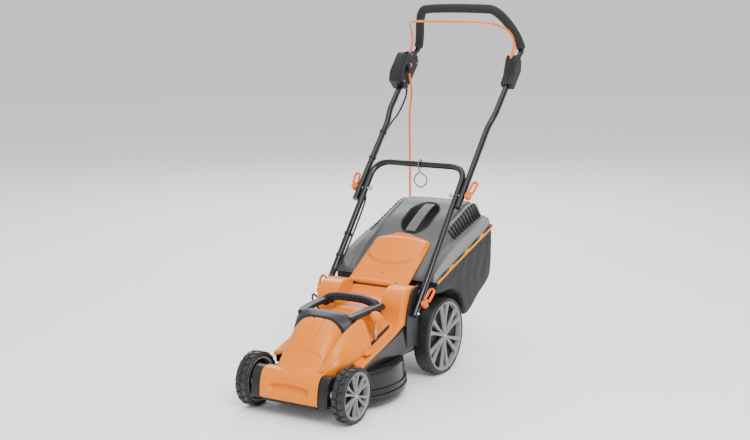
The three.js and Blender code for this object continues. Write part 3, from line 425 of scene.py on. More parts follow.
ORANGE = moulded("orange_plastic", (0.74, 0.185, 0.0), 0.34, spread=0.02)
CAM_ORANGE = moulded("cam_plastic", (0.72, 0.125, 0.0), 0.36, spread=0.03)
BLACK = moulded("black_plastic", (0.006, 0.0062, 0.007), 0.26, coat=0.15, texture_mm=0.04)
SATIN_BLACK = moulded("satin_black_plastic", (0.009, 0.0092, 0.010), 0.42)
SLATE = moulded("slate_plastic", (0.009, 0.0100, 0.0115), 0.40, texture_mm=0.08)
LID = moulded("lid_plastic", (0.085, 0.086, 0.088), 0.42, texture_mm=0.09)
# A darker copy of the lid's plastic: painted shade for the dish under the lid's opening.
LID_PAINTED_SHADE = moulded("lid_recess_painted_shade", (0.022, 0.022, 0.0225), 0.5)
# A lighter copy of the lid's plastic: a painted highlight band along the lid's lower side walls.
LID_PAINTED_LIGHT = moulded("lid_band_painted_light", (0.19, 0.19, 0.193), 0.45, texture_mm=0.09)
STRAP = moulded("strap_plastic", (0.11, 0.11, 0.112), 0.42)
WHEEL_PLASTIC = moulded("wheel_plastic", (0.20, 0.202, 0.205), 0.38, spread=0.03)
WHEEL_BACK = moulded("wheel_back_plastic", (0.012, 0.0125, 0.013), 0.5)
TUBE_PAINT = moulded("tube_coat", (0.004, 0.0042, 0.005), 0.2, coat=0.4, texture_mm=0.05, scale=500)
BAIL_PAINT = moulded("bail_coat", (0.80, 0.17, 0.0), 0.32, spread=0.03)
PIPING = moulded("piping", (0.80, 0.28, 0.003), 0.55, texture_mm=0.2, spread=0.05)
LEAD_JACKET = moulded("lead_jacket", (0.78, 0.12, 0.01), 0.42, texture_mm=0.06, spread=0.03)
CABLE_JACKET = moulded("cable_jacket", (0.008, 0.0095, 0.0095), 0.4)
TYRE = rubber("tyre_rubber", (0.0085, 0.0085, 0.009), 0.5)
SOFT_BLACK = rubber("soft_black_rubber", (0.009, 0.009, 0.0095), 0.5)
FOAM = foam_material()
CLOTH = fabric_material()
STEEL = metal("zinc_steel", (0.62, 0.63, 0.64), 0.3, (1, 0.1, 1))
WIRE = metal("wire_steel", (0.16, 0.165, 0.17), 0.36)
BLADE_STEEL = metal("blade_steel", (0.42, 0.43, 0.44), 0.38, (0.1, 1, 1))
CAST = metal("cast_alloy", (0.52, 0.53, 0.54), 0.5)
LAMINATED = metal("laminations", (0.30, 0.26, 0.23), 0.45, (1, 1, 20))

MATERIAL_OF_SLOT = {
    "tyre": TYRE,
    "wheel_plastic": WHEEL_PLASTIC,
    "bright_steel": STEEL,
    "motor_steel": LAMINATED,
    "blade_steel": BLADE_STEEL,
    "cast_alloy": CAST,
    "capacitor_can": STRAP,
    "orange_plastic": ORANGE,
    "cam_plastic": CAM_ORANGE,
    "black_shell": BLACK,
    "dark_plastic": SLATE,
    "black_plastic": SATIN_BLACK,
    "lid_plastic": LID,
    "strap_plastic": STRAP,
    "black_tube": TUBE_PAINT,
    "bail_paint": BAIL_PAINT,
    "black_foam": FOAM,
    "bag_fabric": CLOTH,
    "trim_plastic": PIPING,
    "cable_jacket": CABLE_JACKET,
    "black_rubber": SOFT_BLACK,
    "lead_jacket": LEAD_JACKET,
}
for part in frame["record"]["subparts"]:
    node_mesh = frame["nodes"][part["node"]].data
    node_mesh.materials.clear()
    node_mesh.materials.append(MATERIAL_OF_SLOT[part["material_slot"]])


# ---------- mesh building ----------
def piece(name, verts, faces, material, body, replaces=(), slot=None, sharp=40):
    """A new piece from points in the frame's metres, riding on a body."""
    mesh = bpy.data.meshes.new(name)
    mesh.from_pydata([tuple(v) for v in verts], [], faces)
    mesh.materials.append(material)
    work = bmesh.new()
    work.from_mesh(mesh)
    bmesh.ops.recalc_face_normals(work, faces=work.faces)
    work.to_mesh(mesh)
    work.free()
    mesh.shade_smooth()
    if sharp:
        mesh.set_sharp_from_angle(angle=math.radians(sharp))
    obj = bpy.data.objects.new(name, mesh)
    bpy.context.scene.collection.objects.link(obj)
    if body:
        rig.ride(obj, body)
    if replaces:
        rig.replaces(obj, *replaces)
    if slot:
        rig.slot(obj, slot)
    return obj


def rounded_edges(obj, width, segments=3, angle=30):
    """Bevels the edges that turn by more than angle."""
    modifier = obj.modifiers.new("rounded_edges", "BEVEL")
    modifier.width = width * MM
    modifier.segments = segments
    modifier.limit_method = "ANGLE"
    modifier.angle_limit = math.radians(angle)
    modifier.harden_normals = True
    obj.data.set_sharp_from_angle(angle=math.pi)
    return obj


def thickened(obj, thickness, offset=-1):
    modifier = obj.modifiers.new("thickness", "SOLIDIFY")
    modifier.thickness = thickness * MM
    modifier.offset = offset
    modifier.use_even_offset = True
    return obj


def subdivided(obj, levels):
    modifier = obj.modifiers.new("subdivision", "SUBSURF")
    modifier.levels = levels
    modifier.render_levels = levels
    return obj


def ring_faces(rings, count, closed=True, caps=True):
    """Faces between rings of points that follow one another, each of the same count."""
    faces = []
    last = count if closed else count - 1
    for r in range(rings - 1):
        for i in range(last):
            j = (i + 1) % count
            faces.append((r * count + i, r * count + j, (r + 1) * count + j, (r + 1) * count + i))
    if caps and closed:
        faces.append(tuple(range(count)))
        faces.append(tuple((rings - 1) * count + i for i in reversed(range(count))))
    return faces


def loft(name, rings, material, body, closed=True, caps=True, **options):
    verts = [point for ring in rings for point in ring]
    return piece(name, verts, ring_faces(len(rings), len(rings[0]), closed, caps), material, body,
                 **options)


def skin(name, rows, material, body, thickness, offset=-1, levels=0, **options):
    """An open sheet through rows of points, smooth all over, with a thickness given to it."""
    obj = loft(name, rows, material, body, closed=False, sharp=0, **options)
    thickened(obj, thickness, offset)
    if levels:
        subdivided(obj, levels)
    return obj


def path_length(points):
    return sum((b - a).length for a, b in zip(points, points[1:]))


def mirrored(points):
    return [Vector((-point.x, point.y, point.z)) for point in points]


def circle(radius, sides=20):
    step = 2 * math.pi / sides
    return [(radius * math.cos(i * step), radius * math.sin(i * step)) for i in range(sides)]


def slab_section(width, height, corner, steps=4):
    """A rectangle with round corners, as points round its centre."""
    points = []
    for quarter, (sx, sy) in enumerate(((1, 1), (-1, 1), (-1, -1), (1, -1))):
        for i in range(steps + 1):
            angle = math.pi / 2 * (quarter + i / steps)
            x = sx * (width / 2 - corner) + corner * math.cos(angle)
            y = sy * (height / 2 - corner) + corner * math.sin(angle)
            points.append((x, y))
    return points


def sweep_rings(points, section_at, up=None):
    """Rings of a section carried along points in metres; up fixes which way its second axis faces."""
    rings = []
    count = len(points)
    tangents = []
    for i in range(count):
        before = points[max(i - 1, 0)]
        after = points[min(i + 1, count - 1)]
        tangents.append((after - before).normalized())
    side = tangents[0].orthogonal().normalized()
    for i, (point, tangent) in enumerate(zip(points, tangents)):
        if up is not None:
            side = tangent.cross(Vector(up)).normalized()
        elif i:
            side = (side - tangent * side.dot(tangent)).normalized()
        above = side.cross(tangent).normalized()
        section = section_at(i / (count - 1))
        rings.append([point + (side * u + above * v) * MM for u, v in section])
    return rings


def tube(name, points, radius, material, body, sides=20, **options):
    """A round bar or tube through points in metres, with radius a number or a function."""
    size = radius if callable(radius) else lambda t: radius
    rings = sweep_rings(points, lambda t: circle(size(t), sides))
    return loft(name, rings, material, body, **options)


def between_keys(p, q, t_p, t_q, t):
    return p * ((t_q - t) / (t_q - t_p)) + q * ((t - t_p) / (t_q - t_p))


def smooth_path(points, between=6):
    """Points of a smooth curve through the given ones (Catmull-Rom, centripetal)."""
    path = []
    ghost = [points[0] * 2 - points[1], *points, points[-1] * 2 - points[-2]]
    for p0, p1, p2, p3 in zip(ghost, ghost[1:], ghost[2:], ghost[3:]):
        t0 = 0.0
        t1 = t0 + (p1 - p0).length ** 0.5
        t2 = t1 + (p2 - p1).length ** 0.5
        t3 = t2 + (p3 - p2).length ** 0.5
        for k in range(between):
            t = mix(t1, t2, k / between)
            a1 = between_keys(p0, p1, t0, t1, t)
            a2 = between_keys(p1, p2, t1, t2, t)
            a3 = between_keys(p2, p3, t2, t3, t)
            b1 = between_keys(a1, a2, t0, t2, t)
            b2 = between_keys(a2, a3, t1, t3, t)
            path.append(between_keys(b1, b2, t1, t2, t))
    path.append(points[-1])
    return path


def bezier(a, b, c, d, steps=16):
    """Points of a cubic curve after its first point."""
    points = []
    for i in range(1, steps + 1):
        t = i / steps
        s = 1 - t
        points.append(a * s**3 + b * (3 * s * s * t) + c * (3 * s * t * t) + d * t**3)
    return points


def lathe(name, profile, material, body, centre, axis="X", sides=64, sign=1, **options):
    """Turns (radius, distance along the axis) about an axis through centre, in millimetres."""
    count = len(profile)
    verts = []
    faces = []
    for i in range(sides):
        angle = 2 * math.pi * i / sides
        for radius, along in profile:
            u, v = radius * math.cos(angle), radius * math.sin(angle)
            offset = (sign * along, u, v) if axis == "X" else (u, v, along)
            verts.append(at(*(c + d for c, d in zip(centre, offset))))
    for r in range(sides):
        s = (r + 1) % sides
        for i in range(count - 1):
            faces.append((r * count + i, r * count + i + 1, s * count + i + 1, s * count + i))
    obj = piece(name, verts, faces, material, body, **options)
    weld(obj)
    return obj


def weld(obj, distance=0.002):
    """Joins points that fall together, such as those on a lathe's axis."""
    work = bmesh.new()
    work.from_mesh(obj.data)
    bmesh.ops.remove_doubles(work, verts=work.verts, dist=distance * MM)
    bmesh.ops.dissolve_degenerate(work, edges=work.edges, dist=distance * MM)
    bmesh.ops.recalc_face_normals(work, faces=work.faces)
    work.to_mesh(obj.data)
    work.free()


def prism_x(name, outline, x0, x1, material, body, bevel=1.5, place=at, **options):
    """An outline of (y, z) points drawn out along X, with rounded edges."""
    rings = [[place(x, y, z) for y, z in outline] for x in (x0, x1)]
    obj = loft(name, rings, material, body, **options)
    if bevel:
        rounded_edges(obj, bevel)
    return obj


def hermite(t, a, b, leaving, arriving):
    """A cubic from a at t = 0 to b at t = 1, with its slopes at both ends."""
    return ((2 * t**3 - 3 * t**2 + 1) * a + (t**3 - 2 * t**2 + t) * leaving
            + (3 * t**2 - 2 * t**3) * b + (t**3 - t**2) * arriving)


def sides():
    return (("left", 1), ("right", -1))


# ---------- the mains lead ----------
def coil_route():
    """Turns that lie side by side in rows a diameter apart, entered and left on the outside."""
    pitch = 2 * LEAD + 0.1
    turns_in_row = (4, 5, 4, 5, 3)
    slots = []
    for row, count in enumerate(turns_in_row):
        offsets = [(i - (count - 1) / 2) * pitch for i in range(count)]
        if row % 2 == 0:
            offsets.reverse()
        slots += [(COIL["mean"] + offset, LEAD + 0.5 + row * pitch) for offset in offsets]
    steps = 40
    start = math.radians(190)
    points = []
    for turn, (radius, height) in enumerate(slots):
        following = slots[min(turn + 1, len(slots) - 1)]
        for step in range(steps):
            t = step / steps
            ease = smoothstep(0.55, 1.0, t)
            angle = start + 2 * math.pi * t
            r = mix(radius, following[0], ease)
            z = mix(height, following[1], ease)
            points.append(at(COIL["x"] + r * math.cos(angle), COIL["y"] + r * math.sin(angle), z))
    last_radius, last_height = slots[-1]
    way_out = 12
    leaving_radius = 87
    for step in range(way_out):
        t = step / way_out
        angle = start + math.radians(80) * t
        r = mix(last_radius, leaving_radius, smoothstep(0, 1, t))
        points.append(at(COIL["x"] + r * math.cos(angle), COIL["y"] + r * math.sin(angle), last_height))
    return points


def lead_route():
    plug_x, plug_y, plug_z = PLUG
    hang = [
        at(-167.5, 402.1, 907.5),
        at(-167.5, 405, 893),
        at(-169, 416, 868),
        at(-178, 436, 838),
        at(-189, 451, 806),
        at(-196, 456, 770),
        at(-196, 456, 580),
        at(-196, 456, 400),
        at(-196, 456, 230),
        at(-196, 456, 60),
        at(-195.5, 453, 30),
        at(-194, 442, 13),
        at(-190, 424, 5),
        at(-183, 402, 4.2),
        at(-175, 381, 4.2),
        at(-171, 364, 4.2),
    ]
    turns = coil_route()
    into_coil = [at(-166.5, 347, 4.3)]
    to_plug = [
        at(-80, plug_y, 34.2),
        at(-65, plug_y, 33),
        at(-50, plug_y, 28),
        at(-36, plug_y, 21),
        at(plug_x + 0.5, plug_y, plug_z),
    ]
    joined = 12
    entry = smooth_path(hang + into_coil + turns[3:joined:3], 6)
    leaving = smooth_path([turns[-1], *to_plug], 5)
    return entry[:-1] + turns[joined:] + leaving[1:]


def make_lead():
    route = lead_route()
    lead = tube("lead", route, LEAD, LEAD_JACKET, None, sides=12, replaces=("mains_lead", "mains_coil"),
                slot="lead_jacket")
    length = path_length(route)
    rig.blend(lead, "chassis", "upper_frame", at(-196, 456, 60), at(-167.5, 402, 906))
    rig.cord(lead, exit=tuple(route[0]), length=round(length, 2), diameter=2 * LEAD * MM, far_end="plug",
            stiffness="medium",
            lay="hanging", path=[tuple(point) for point in route], with_pieces=["mains_plug"])


make_lead()


# ---------- wheels ----------
RIM_SHARE = {"front": 0.8625, "rear": 0.9167}


def wheel_place(end, side):
    """A wheel's axis along Y, its radius and rim radius, and its inner and outer face."""
    low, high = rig.box(f"{end}_wheel_{side}_tyre")
    radius = (high.z - low.z) / 2 / MM
    y = (low.y + high.y) / 2 / MM - AXIS_Y
    inner, outer = sorted((abs(low.x), abs(high.x)))
    return y, radius, radius * RIM_SHARE[end], inner / MM, outer / MM


def tread_lugs(name, sign, radius, inner, outer, y, body):
    """Two rows of slanted blocks round the tyre, one row half a block behind the other."""
    count = 21
    pitch = 2 * math.pi / count
    verts = []
    faces = []
    middle = (inner + outer) / 2
    bands = [(inner + 3.5, middle - 1.2, 0.0, 1), (middle + 1.2, outer - 3.5, 0.5, -1)]
    for x0, x1, phase, lean in bands:
        for k in range(count):
            start = 2 * math.pi * (k + phase) / count
            width = pitch * 0.74
            base = len(verts)
            for depth, shrink in ((3.6, 0.0), (0.0, 0.012)):
                for x, skew in ((x0, 0.0), (x1, 0.055 * lean)):
                    foot = start + skew
                    for angle in (foot + shrink, foot + width / 2, foot + width - shrink):
                        inset = 1.0 if depth == 0.0 else 0.0
                        across = x + inset * (1 if x == x0 else -1)
                        r = radius - depth
                        verts.append(at(sign * across, y + r * math.cos(angle),
                                        radius + r * math.sin(angle)))
            low, high = base, base + 6
            faces += [(high + 0, high + 1, high + 4, high + 3), (high + 1, high + 2, high + 5, high + 4)]
            for a, b in ((0, 1), (1, 2), (2, 5), (5, 4), (4, 3), (3, 0)):
                faces.append((low + a, low + b, high + b, high + a))
            faces += [(low + 3, low + 4, low + 1, low + 0), (low + 4, low + 5, low + 2, low + 1)]
    piece(name, verts, faces, TYRE, body, slot="tyre", sharp=35)


def make_tyre(end, side, sign):
    y, radius, rim, inner, outer = wheel_place(end, side)
    body = f"{end}_wheel_{side}"
    tread = radius - 3 if end == "front" else radius
    profile = [(rim + 0.3, inner + 2), (rim + 3, inner + 0.6), (tread - 7, inner + 0.2),
               (tread - 2.2, inner + 1.6), (tread, inner + 5)]
    if end == "rear":
        for groove in (0.28, 0.5, 0.72):
            x = mix(inner, outer, groove)
            profile += [(tread, x - 1.4), (tread - 1.1, x - 0.8), (tread - 1.1, x + 0.8), (tread, x + 1.4)]
    else:
        profile += [(tread, mix(inner, outer, 0.5))]
    profile += [(tread, outer - 5), (tread - 2.2, outer - 1.6), (tread - 7, outer - 0.2),
                (rim + 3, outer - 0.8), (rim + 0.3, outer - 2.5), (rim + 0.3, inner + 2)]
    lathe(body + "_rubber", profile, TYRE, body, (0, y, radius), sides=96, sign=sign,
          replaces=(body + "_tyre",), slot="tyre", sharp=50)
    if end == "front":
        tread_lugs(body + "_tread", sign, radius, inner, outer, y, body)


def spoke(start, reach, from_angle, to_angle, width, face, depth):
    """Rings along one spoke that widens and bends a little towards the rim."""
    section = ((-1, depth), (-0.8, 1.2), (-0.35, 0), (0.35, 0), (0.8, 1.2), (1, depth))
    rings = []
    for i in range(7):
        t = i / 6
        angle = mix(from_angle, to_angle, t ** 0.85)
        r = mix(start, reach, t)
        half = width * (0.56 + 0.5 * t ** 3)
        top = face - 1.2 * math.sin(math.pi * t)
        u, v = r * math.cos(angle), r * math.sin(angle)
        du, dv = -math.sin(angle) * half, math.cos(angle) * half
        rings.append([(u + du * share, v + dv * share, top - drop) for share, drop in section])
    return rings


def make_rim(end, side, sign):
    y, radius, rim, inner, outer = wheel_place(end, side)
    body = f"{end}_wheel_{side}"
    centre = (0, y, radius)
    face = outer - 3.5
    ring = [(rim - 0.4, inner + 5), (rim - 0.4, face + 1.2), (rim - 1.6, face + 2), (rim - 3.4, face + 2),
            (rim - 4.4, face + 0.4), (rim - 7.5, face - 0.6), (rim - 8.3, face - 2.2),
            (rim - 8.6, inner + 5), (rim - 0.4, inner + 5)]
    lathe(body + "_ring", ring, WHEEL_PLASTIC, body, centre, sides=96, sign=sign,
          replaces=(body + "_rim",), slot="wheel_plastic", sharp=35)
    back = [(0, face - 20), (rim - 8, face - 17.5), (rim - 8, face - 15.5), (16, face - 17), (0, face - 17)]
    lathe(body + "_web", back, WHEEL_BACK, body, centre, sides=64, sign=sign, sharp=35)
    hub_radius = radius * 0.075 + 4.5
    hub = [(0, face - 18), (hub_radius, face - 18), (hub_radius, face - 1.5), (hub_radius - 1.5, face),
           (hub_radius * 0.62, face + 0.8), (hub_radius * 0.55, face - 1.2), (0, face - 1.2)]
    lathe(body + "_hub", hub, WHEEL_PLASTIC, body, centre, sides=40, sign=sign, slot="wheel_plastic")
    cap = [(0, face + 1.8), (3.2, face + 1.3), (4.6, face - 0.2), (4.8, face - 2)]
    lathe(body + "_axle_cap", cap, STEEL, body, centre, sides=32, sign=sign, slot="bright_steel")
    sleeve = [(8, inner - 3.2), (14, inner - 3.2), (14, face - 17), (8, face - 17), (8, inner - 3.2)]
    lathe(body + "_sleeve", sleeve, WHEEL_PLASTIC, body, centre, sides=32, sign=sign)
    verts = []
    faces = []
    for pair in range(6):
        for lean in (-1, 1):
            middle = math.pi / 2 + math.pi / 3 * pair
            rings = spoke(hub_radius - 1.5, rim - 7.6, middle + lean * 0.13, middle + lean * 0.2,
                          radius * 0.072, face, 7)
            base = len(verts)
            verts += [at(sign * top, y + u, radius + v) for points in rings for u, v, top in points]
            faces += [tuple(base + i for i in corners) for corners in ring_faces(len(rings), len(rings[0]))]
    piece(body + "_spokes", verts, faces, WHEEL_PLASTIC, body, slot="wheel_plastic", sharp=40)


for end_name in ("front", "rear"):
    for side_name, side_sign in sides():
        make_tyre(end_name, side_name, side_sign)
        make_rim(end_name, side_name, side_sign)


# ---------- deck ----------
CHUTE_HALF = 106


def make_volute():
    """The round cover of the blade, with its ledges, left open where the chute leaves it."""
    profile = [(100, 116.4), (170, 116.4), (180, 115.6), (184.6, 112.5), (186.6, 106), (187.4, 94),
               (188, 80), (188, 68), (189, 63.5), (194, 62), (194.6, 56), (191.6, 53.5), (191.8, 46.5),
               (196, 45), (196.6, 36), (192, 33.5), (192, 24), (189.5, 22)]
    skirt_from = 8
    wall = 188.5
    clear_of_cad = 1.8
    opening = math.asin(CHUTE_HALF / DECK["radius"])
    verts = []
    faces = []
    steps = 160
    for i in range(steps):
        angle = 2 * math.pi * i / steps
        # At the very front the ledges stand out by one percent less.
        ledge_share = 1.0 if math.sin(angle) > -0.97 else 0.99
        for r, z in profile:
            reach = (r if r < wall else wall + (r - wall) * ledge_share) + clear_of_cad
            verts.append(at(reach * math.cos(angle), DECK["y"] + reach * math.sin(angle), z))
    count = len(profile)
    for i in range(steps):
        j = (i + 1) % steps
        angle = 2 * math.pi * (i + 0.5) / steps
        in_chute = abs(angle - math.pi / 2) < opening
        for k in range(skirt_from if in_chute else 0, count - 1):
            faces.append((i * count + k, j * count + k, j * count + k + 1, i * count + k + 1))
    volute = piece("deck_volute", verts, faces, BLACK, "chassis", slot="black_shell", sharp=38)
    thickened(volute, 1.2)


def make_side_steps():
    """Black plates along the deck's walls, over the CAD walls, with the bulge before the wheel."""
    for side, sign in sides():
        rows = []
        for i in range(19):
            t = i / 18
            y = mix(-452, -150, t)
            top = mix(137, 211, t) - 2 if y < -215 else 209
            foot = 113.5
            flare = 10 * smoothstep(-300, -190, y)
            ring = []
            for k in range(9):
                s = k / 8
                out = DECK["wall_x"] + 0.6 + flare * (1 - s) ** 1.6 + 0.8 * math.sin(math.pi * s)
                ring.append(at(sign * out, y, mix(foot, top, s)))
            rows.append(ring)
        skin(f"deck_wall_{side}", rows, BLACK, "chassis", 1.0, offset=0, slot="black_shell")


make_volute()
make_side_steps()


# ---------- hood, cheek, covers and apron ----------
HOOD = [(-588, 68, 137), (-575, 71, 146), (-560, 74, 161), (-530, 80, 195), (-500, 86, 226),
        (-461, 92, 256), (-420, 97, 268), (-396, 98.5, 270.5), (-366, 98.5, 257), (-336, 98.5, 250),
        (-296, 98.5, 253), (-232, 97, 259)]
HOOD_FOOT = 115.3
HOOD_SQUARENESS = 0.62
HOOD_RISE = 0.75


def squared(share, power):
    """Keeps the sign of a share between -1 and 1 and pushes it outwards as power falls below 1."""
    return math.copysign(abs(share) ** power, share)


def along_stations(stations, position):
    """Values of a table at a position, on a smooth curve through its rows."""
    keys = [row[0] for row in stations]
    last = len(keys) - 1
    i = max(1, next((k for k, key in enumerate(keys) if key >= position), last))
    a, b = stations[i - 1], stations[i]
    before = stations[max(i - 2, 0)]
    after = stations[min(i + 1, len(stations) - 1)]
    width = b[0] - a[0]
    t = min(max((position - a[0]) / width, 0), 1)
    values = []
    for k in range(1, len(a)):
        leaving = (b[k] - before[k]) / (b[0] - before[0]) * width
        arriving = (after[k] - a[k]) / (after[0] - a[0]) * width
        values.append(hermite(t, a[k], b[k], leaving, arriving))
    return values


def hood_detail(x, y):
    """How far the hood's surface sinks: two grooves on the crown and a step over the front panel."""
    sunk = 0.0
    for groove in (-17, 20):
        across = abs(x - groove - (y + 480) * 0.05)
        run = smoothstep(-526, -516, y) * (1 - smoothstep(-452, -440, y))
        sunk += 4.2 * run * (1 - smoothstep(0.3, 2.8, across))
    panel = 1 - smoothstep(-537, -532, y)
    inside = 1 - smoothstep(58, 66, abs(x))
    sunk += 4.2 * panel * inside * smoothstep(-584, -560, y)
    return sunk


def make_hood():
    rows = []
    lengthwise, steps = 140, 110
    for i in range(lengthwise + 1):
        y = mix(-588, -232, i / lengthwise)
        half, top = along_stations(HOOD, y)
        ring = []
        for k in range(steps + 1):
            angle = math.pi * k / steps
            x = half * squared(math.cos(angle), HOOD_SQUARENESS)
            z = HOOD_FOOT + (top - HOOD_FOOT) * math.sin(angle) ** HOOD_RISE
            sunk = hood_detail(x, y) * smoothstep(0.15, 0.5, math.sin(angle))
            ring.append(at(x, y + sunk * 0.6, z - sunk * 0.8))
        rows.append(ring)
    skin("hood_shell", rows, ORANGE, "chassis", 2.5, replaces=("motor_hood",), slot="orange_plastic")


def make_cheek():
    """The raised panel beside the hood that covers the height linkage, on the lever's side."""
    stations = [
        (-559, 73, 139, 80, 136, 76, 138),
        (-545, 80, 156, 98, 144, 90, 151),
        (-532, 85, 172, 110, 152, 99, 164),
        (-517, 90, 193, 117, 158, 105, 178),
        (-480, 97, 224, 124, 163, 114, 196),
        (-440, 104, 245, 128, 168, 120, 206),
        (-405, 109, 256, 131, 174, 124, 212),
        (-388, 111, 256, 132, 178, 125, 213),
        (-374, 108, 244, 131, 180, 122, 208),
    ]
    rows = []
    for i in range(46):
        y = mix(-559, -374, i / 45)
        x_top, z_top, x_low, z_low, x_mid, z_mid = along_stations(stations, y)
        crease = 3.0 * smoothstep(-540, -480, y)
        line = [
            (x_top - 26, z_top - 34), (x_top - 13, z_top - 12), (x_top - 5, z_top - 2.5), (x_top, z_top),
            (x_top + 4, z_top - 3), (mix(x_top, x_mid, 0.5) + 2.5, mix(z_top, z_mid, 0.5)),
            (x_mid + crease, z_mid), (x_mid + crease + 0.6, z_mid - 4),
            (mix(x_mid, x_low, 0.55) + 0.6, mix(z_mid, z_low, 0.55)), (x_low, z_low),
            (x_low + 1, z_low - 8), (x_low - 4, z_low - 22),
        ]
        rows.append([at(x, y, max(z, 118)) for x, z in line])
    skin("hood_cheek", rows, ORANGE, "chassis", 2, levels=1, slot="orange_plastic")
    inward = [point + Vector((-26, 2, -14)) * MM for point in rows[-1]]
    skin("hood_cheek_end", [rows[-1], inward], ORANGE, "chassis", 2, slot="orange_plastic")


RAIL_EDGE = [(-457, 139), (-400, 154), (-341, 169), (-290, 183), (-250, 195), (-226, 206)]
RAIL_TIP = (0, 2, 5, 9)


def make_rails():
    for side, sign in sides():
        rows = []
        for i in range(1 - len(RAIL_TIP), 25):
            y = mix(-457, -224, max(i, 0) / 24) + 0.8 * min(i, 0)
            (z,) = along_stations(RAIL_EDGE, y)
            z -= RAIL_TIP[-min(i, 0)]
            rise = 9 * smoothstep(-262, -226, y)
            line = [(151, z - 9), (151.6, z - 3), (151.2, z + 2.2), (149, z + 4.2), (145.5, z + 4.6),
                    (142.5, z + 2.6), (139, z + 2.4), (120, z + 9), (101, z + 16.5), (86, z + 19 + rise)]
            rows.append([at(sign * x, y, h) for x, h in line])
        skin(f"cover_rail_{side}", rows, ORANGE, "chassis", 2.2, offset=-sign, levels=1,
             slot="orange_plastic")


def make_lever_slot():
    rings = []
    for i in range(17):
        y = mix(-367, -247, i / 16)
        (z,) = along_stations(RAIL_EDGE, y)
        end = min(1.0, (1 - abs(2 * i / 16 - 1)) * 9 + 0.35)
        section = ((-4.6, 10.9), (-3.8, 11.9), (3.8, 10.1), (4.6, 8.9), (4.6, 5), (-4.6, 6.5))
        rings.append([at(120 + u * end, y, z + h) for u, h in section])
    loft("lever_slot_seal", rings, SATIN_BLACK, "chassis", slot="black_plastic")
    stop = [(-423, 160), (-419, 170), (-403, 175), (-396, 172), (-394, 160)]
    prism_x("lever_stop_block", stop, 131, 146, ORANGE, "chassis", bevel=2.2, slot="orange_plastic")


def make_shoulders():
    outline = [(-262, 192), (-243, 205), (-233, 226), (-228, 256), (-221, 286), (-206, 301), (-188, 306.5),
               (-160, 308.5), (-136, 306), (-124, 299), (-124, 262), (-140, 214), (-190, 198)]
    for side, sign in sides():
        low, high = sorted((sign * 78, sign * 150.8))
        replaces = ("deck_cover",) if sign > 0 else ()
        shoulder = prism_x(f"cover_shoulder_{side}", outline, low, high, ORANGE, "chassis", bevel=6,
                           replaces=replaces,
                           slot="orange_plastic")
        shoulder.modifiers["rounded_edges"].segments = 5
        shoulder.modifiers["rounded_edges"].angle_limit = math.radians(50)
    lip = [(-238, 232), (-233, 250), (-224, 260), (-206, 264), (-160, 266), (-146, 268), (-136, 277),
           (-130, 288)]
    rows = []
    for y, z in lip:
        rows.append([at(x, y + 0.004 * (abs(x) - 40), z) for x in (-80, -60, -30, 0, 30, 60, 80)])
    skin("cover_channel", rows, ORANGE, "chassis", 2.5, offset=0, levels=2, slot="orange_plastic")


APRON = [(-562, 139.5), (-582, 139), (-591, 136), (-600, 126), (-606, 112), (-610, 96), (-612, 78),
         (-612.5, 60), (-609, 55.5), (-600, 54.5)]
RECESS_TOP = 108


def apron_point(share):
    """The (y, z) point at a share of the way down the apron's front line, on a smooth curve."""
    last = len(APRON) - 1
    i = min(int(share * last), last - 1)
    t = share * last - i
    before, here, following, after = (APRON[max(0, min(i + step, last))] for step in (-1, 0, 1, 2))
    spans = zip(before, here, following, after)
    return [hermite(t, a, b, (b - p) / 2, (q - a) / 2) for p, a, b, q in spans]


def make_apron():
    rows = []
    tall, wide = 54, 96
    for i in range(tall + 1):
        y, z = apron_point(i / tall)
        ring = []
        for k in range(wide + 1):
            x = mix(-97, 97, k / wide)
            inside = 1 - smoothstep(58, 70, abs(x))
            arch = RECESS_TOP - 6 * (x / 66) ** 2
            recess = inside * (1 - smoothstep(arch - 12, arch + 1, z)) * smoothstep(70, 94, z)
            ledge = inside * (1 - smoothstep(66, 74, z)) * smoothstep(54, 60, z)
            pillar = math.exp(-((abs(x) - 78) / 5) ** 2)
            pillar *= smoothstep(60, 75, z) * (1 - smoothstep(128, 138, z))
            ring.append(at(x, y + 14 * recess + 1.5 * ledge - 2.2 * pillar, z))
        rows.append(ring)
    skin("apron_skin", rows, ORANGE, "chassis", 2.4, replaces=("front_apron",), slot="orange_plastic")
    strip = [(-606, 57), (-606, 46), (-598, 46), (-598, 57)]
    prism_x("apron_lower_strip", strip, -94, 94, SATIN_BLACK, "chassis", bevel=1.2, slot="black_plastic")


def make_fenders():
    for side, sign in sides():
        rows = []
        for i in range(28):
            y, z = apron_point(0.05 + 0.95 * i / 27)
            ring = []
            for k in range(11):
                s = k / 10
                x = mix(97.5, 128, s)
                edge = 3.5 * max(0.0, s - 0.72) ** 2 / 0.08
                ring.append(at(sign * x, y + 2.2 + edge, z - 2.5))
            rows.append(ring)
        skin(f"fender_{side}", rows, SLATE, "chassis", 2.4, offset=-sign, slot="dark_plastic")
        outline = [(-588, 134), (-599, 122), (-605, 108), (-609, 84), (-609, 58), (-560, 56), (-545, 80),
                   (-560, 118), (-574, 132)]
        low, high = sorted((sign * 125, sign * 128.4))
        prism_x(f"fender_end_{side}", outline, low, high, SLATE, "chassis", bevel=1, slot="dark_plastic")


make_hood()
make_cheek()
make_rails()
make_lever_slot()
make_shoulders()
make_apron()
make_fenders()


# ---------- carry handle ----------
def merged(name, verts, faces, voxel, smoothing, material, body, **options):
    """Joins overlapping closed shapes into one smooth skin."""
    obj = piece(name, verts, faces, material, body, sharp=0, **options)
    remesh = obj.modifiers.new("one_skin", "REMESH")
    remesh.mode = "VOXEL"
    remesh.voxel_size = voxel * MM
    remesh.use_smooth_shade = True
    smooth = obj.modifiers.new("soft_joins", "SMOOTH")
    smooth.factor = 0.5
    smooth.iterations = smoothing
    return obj


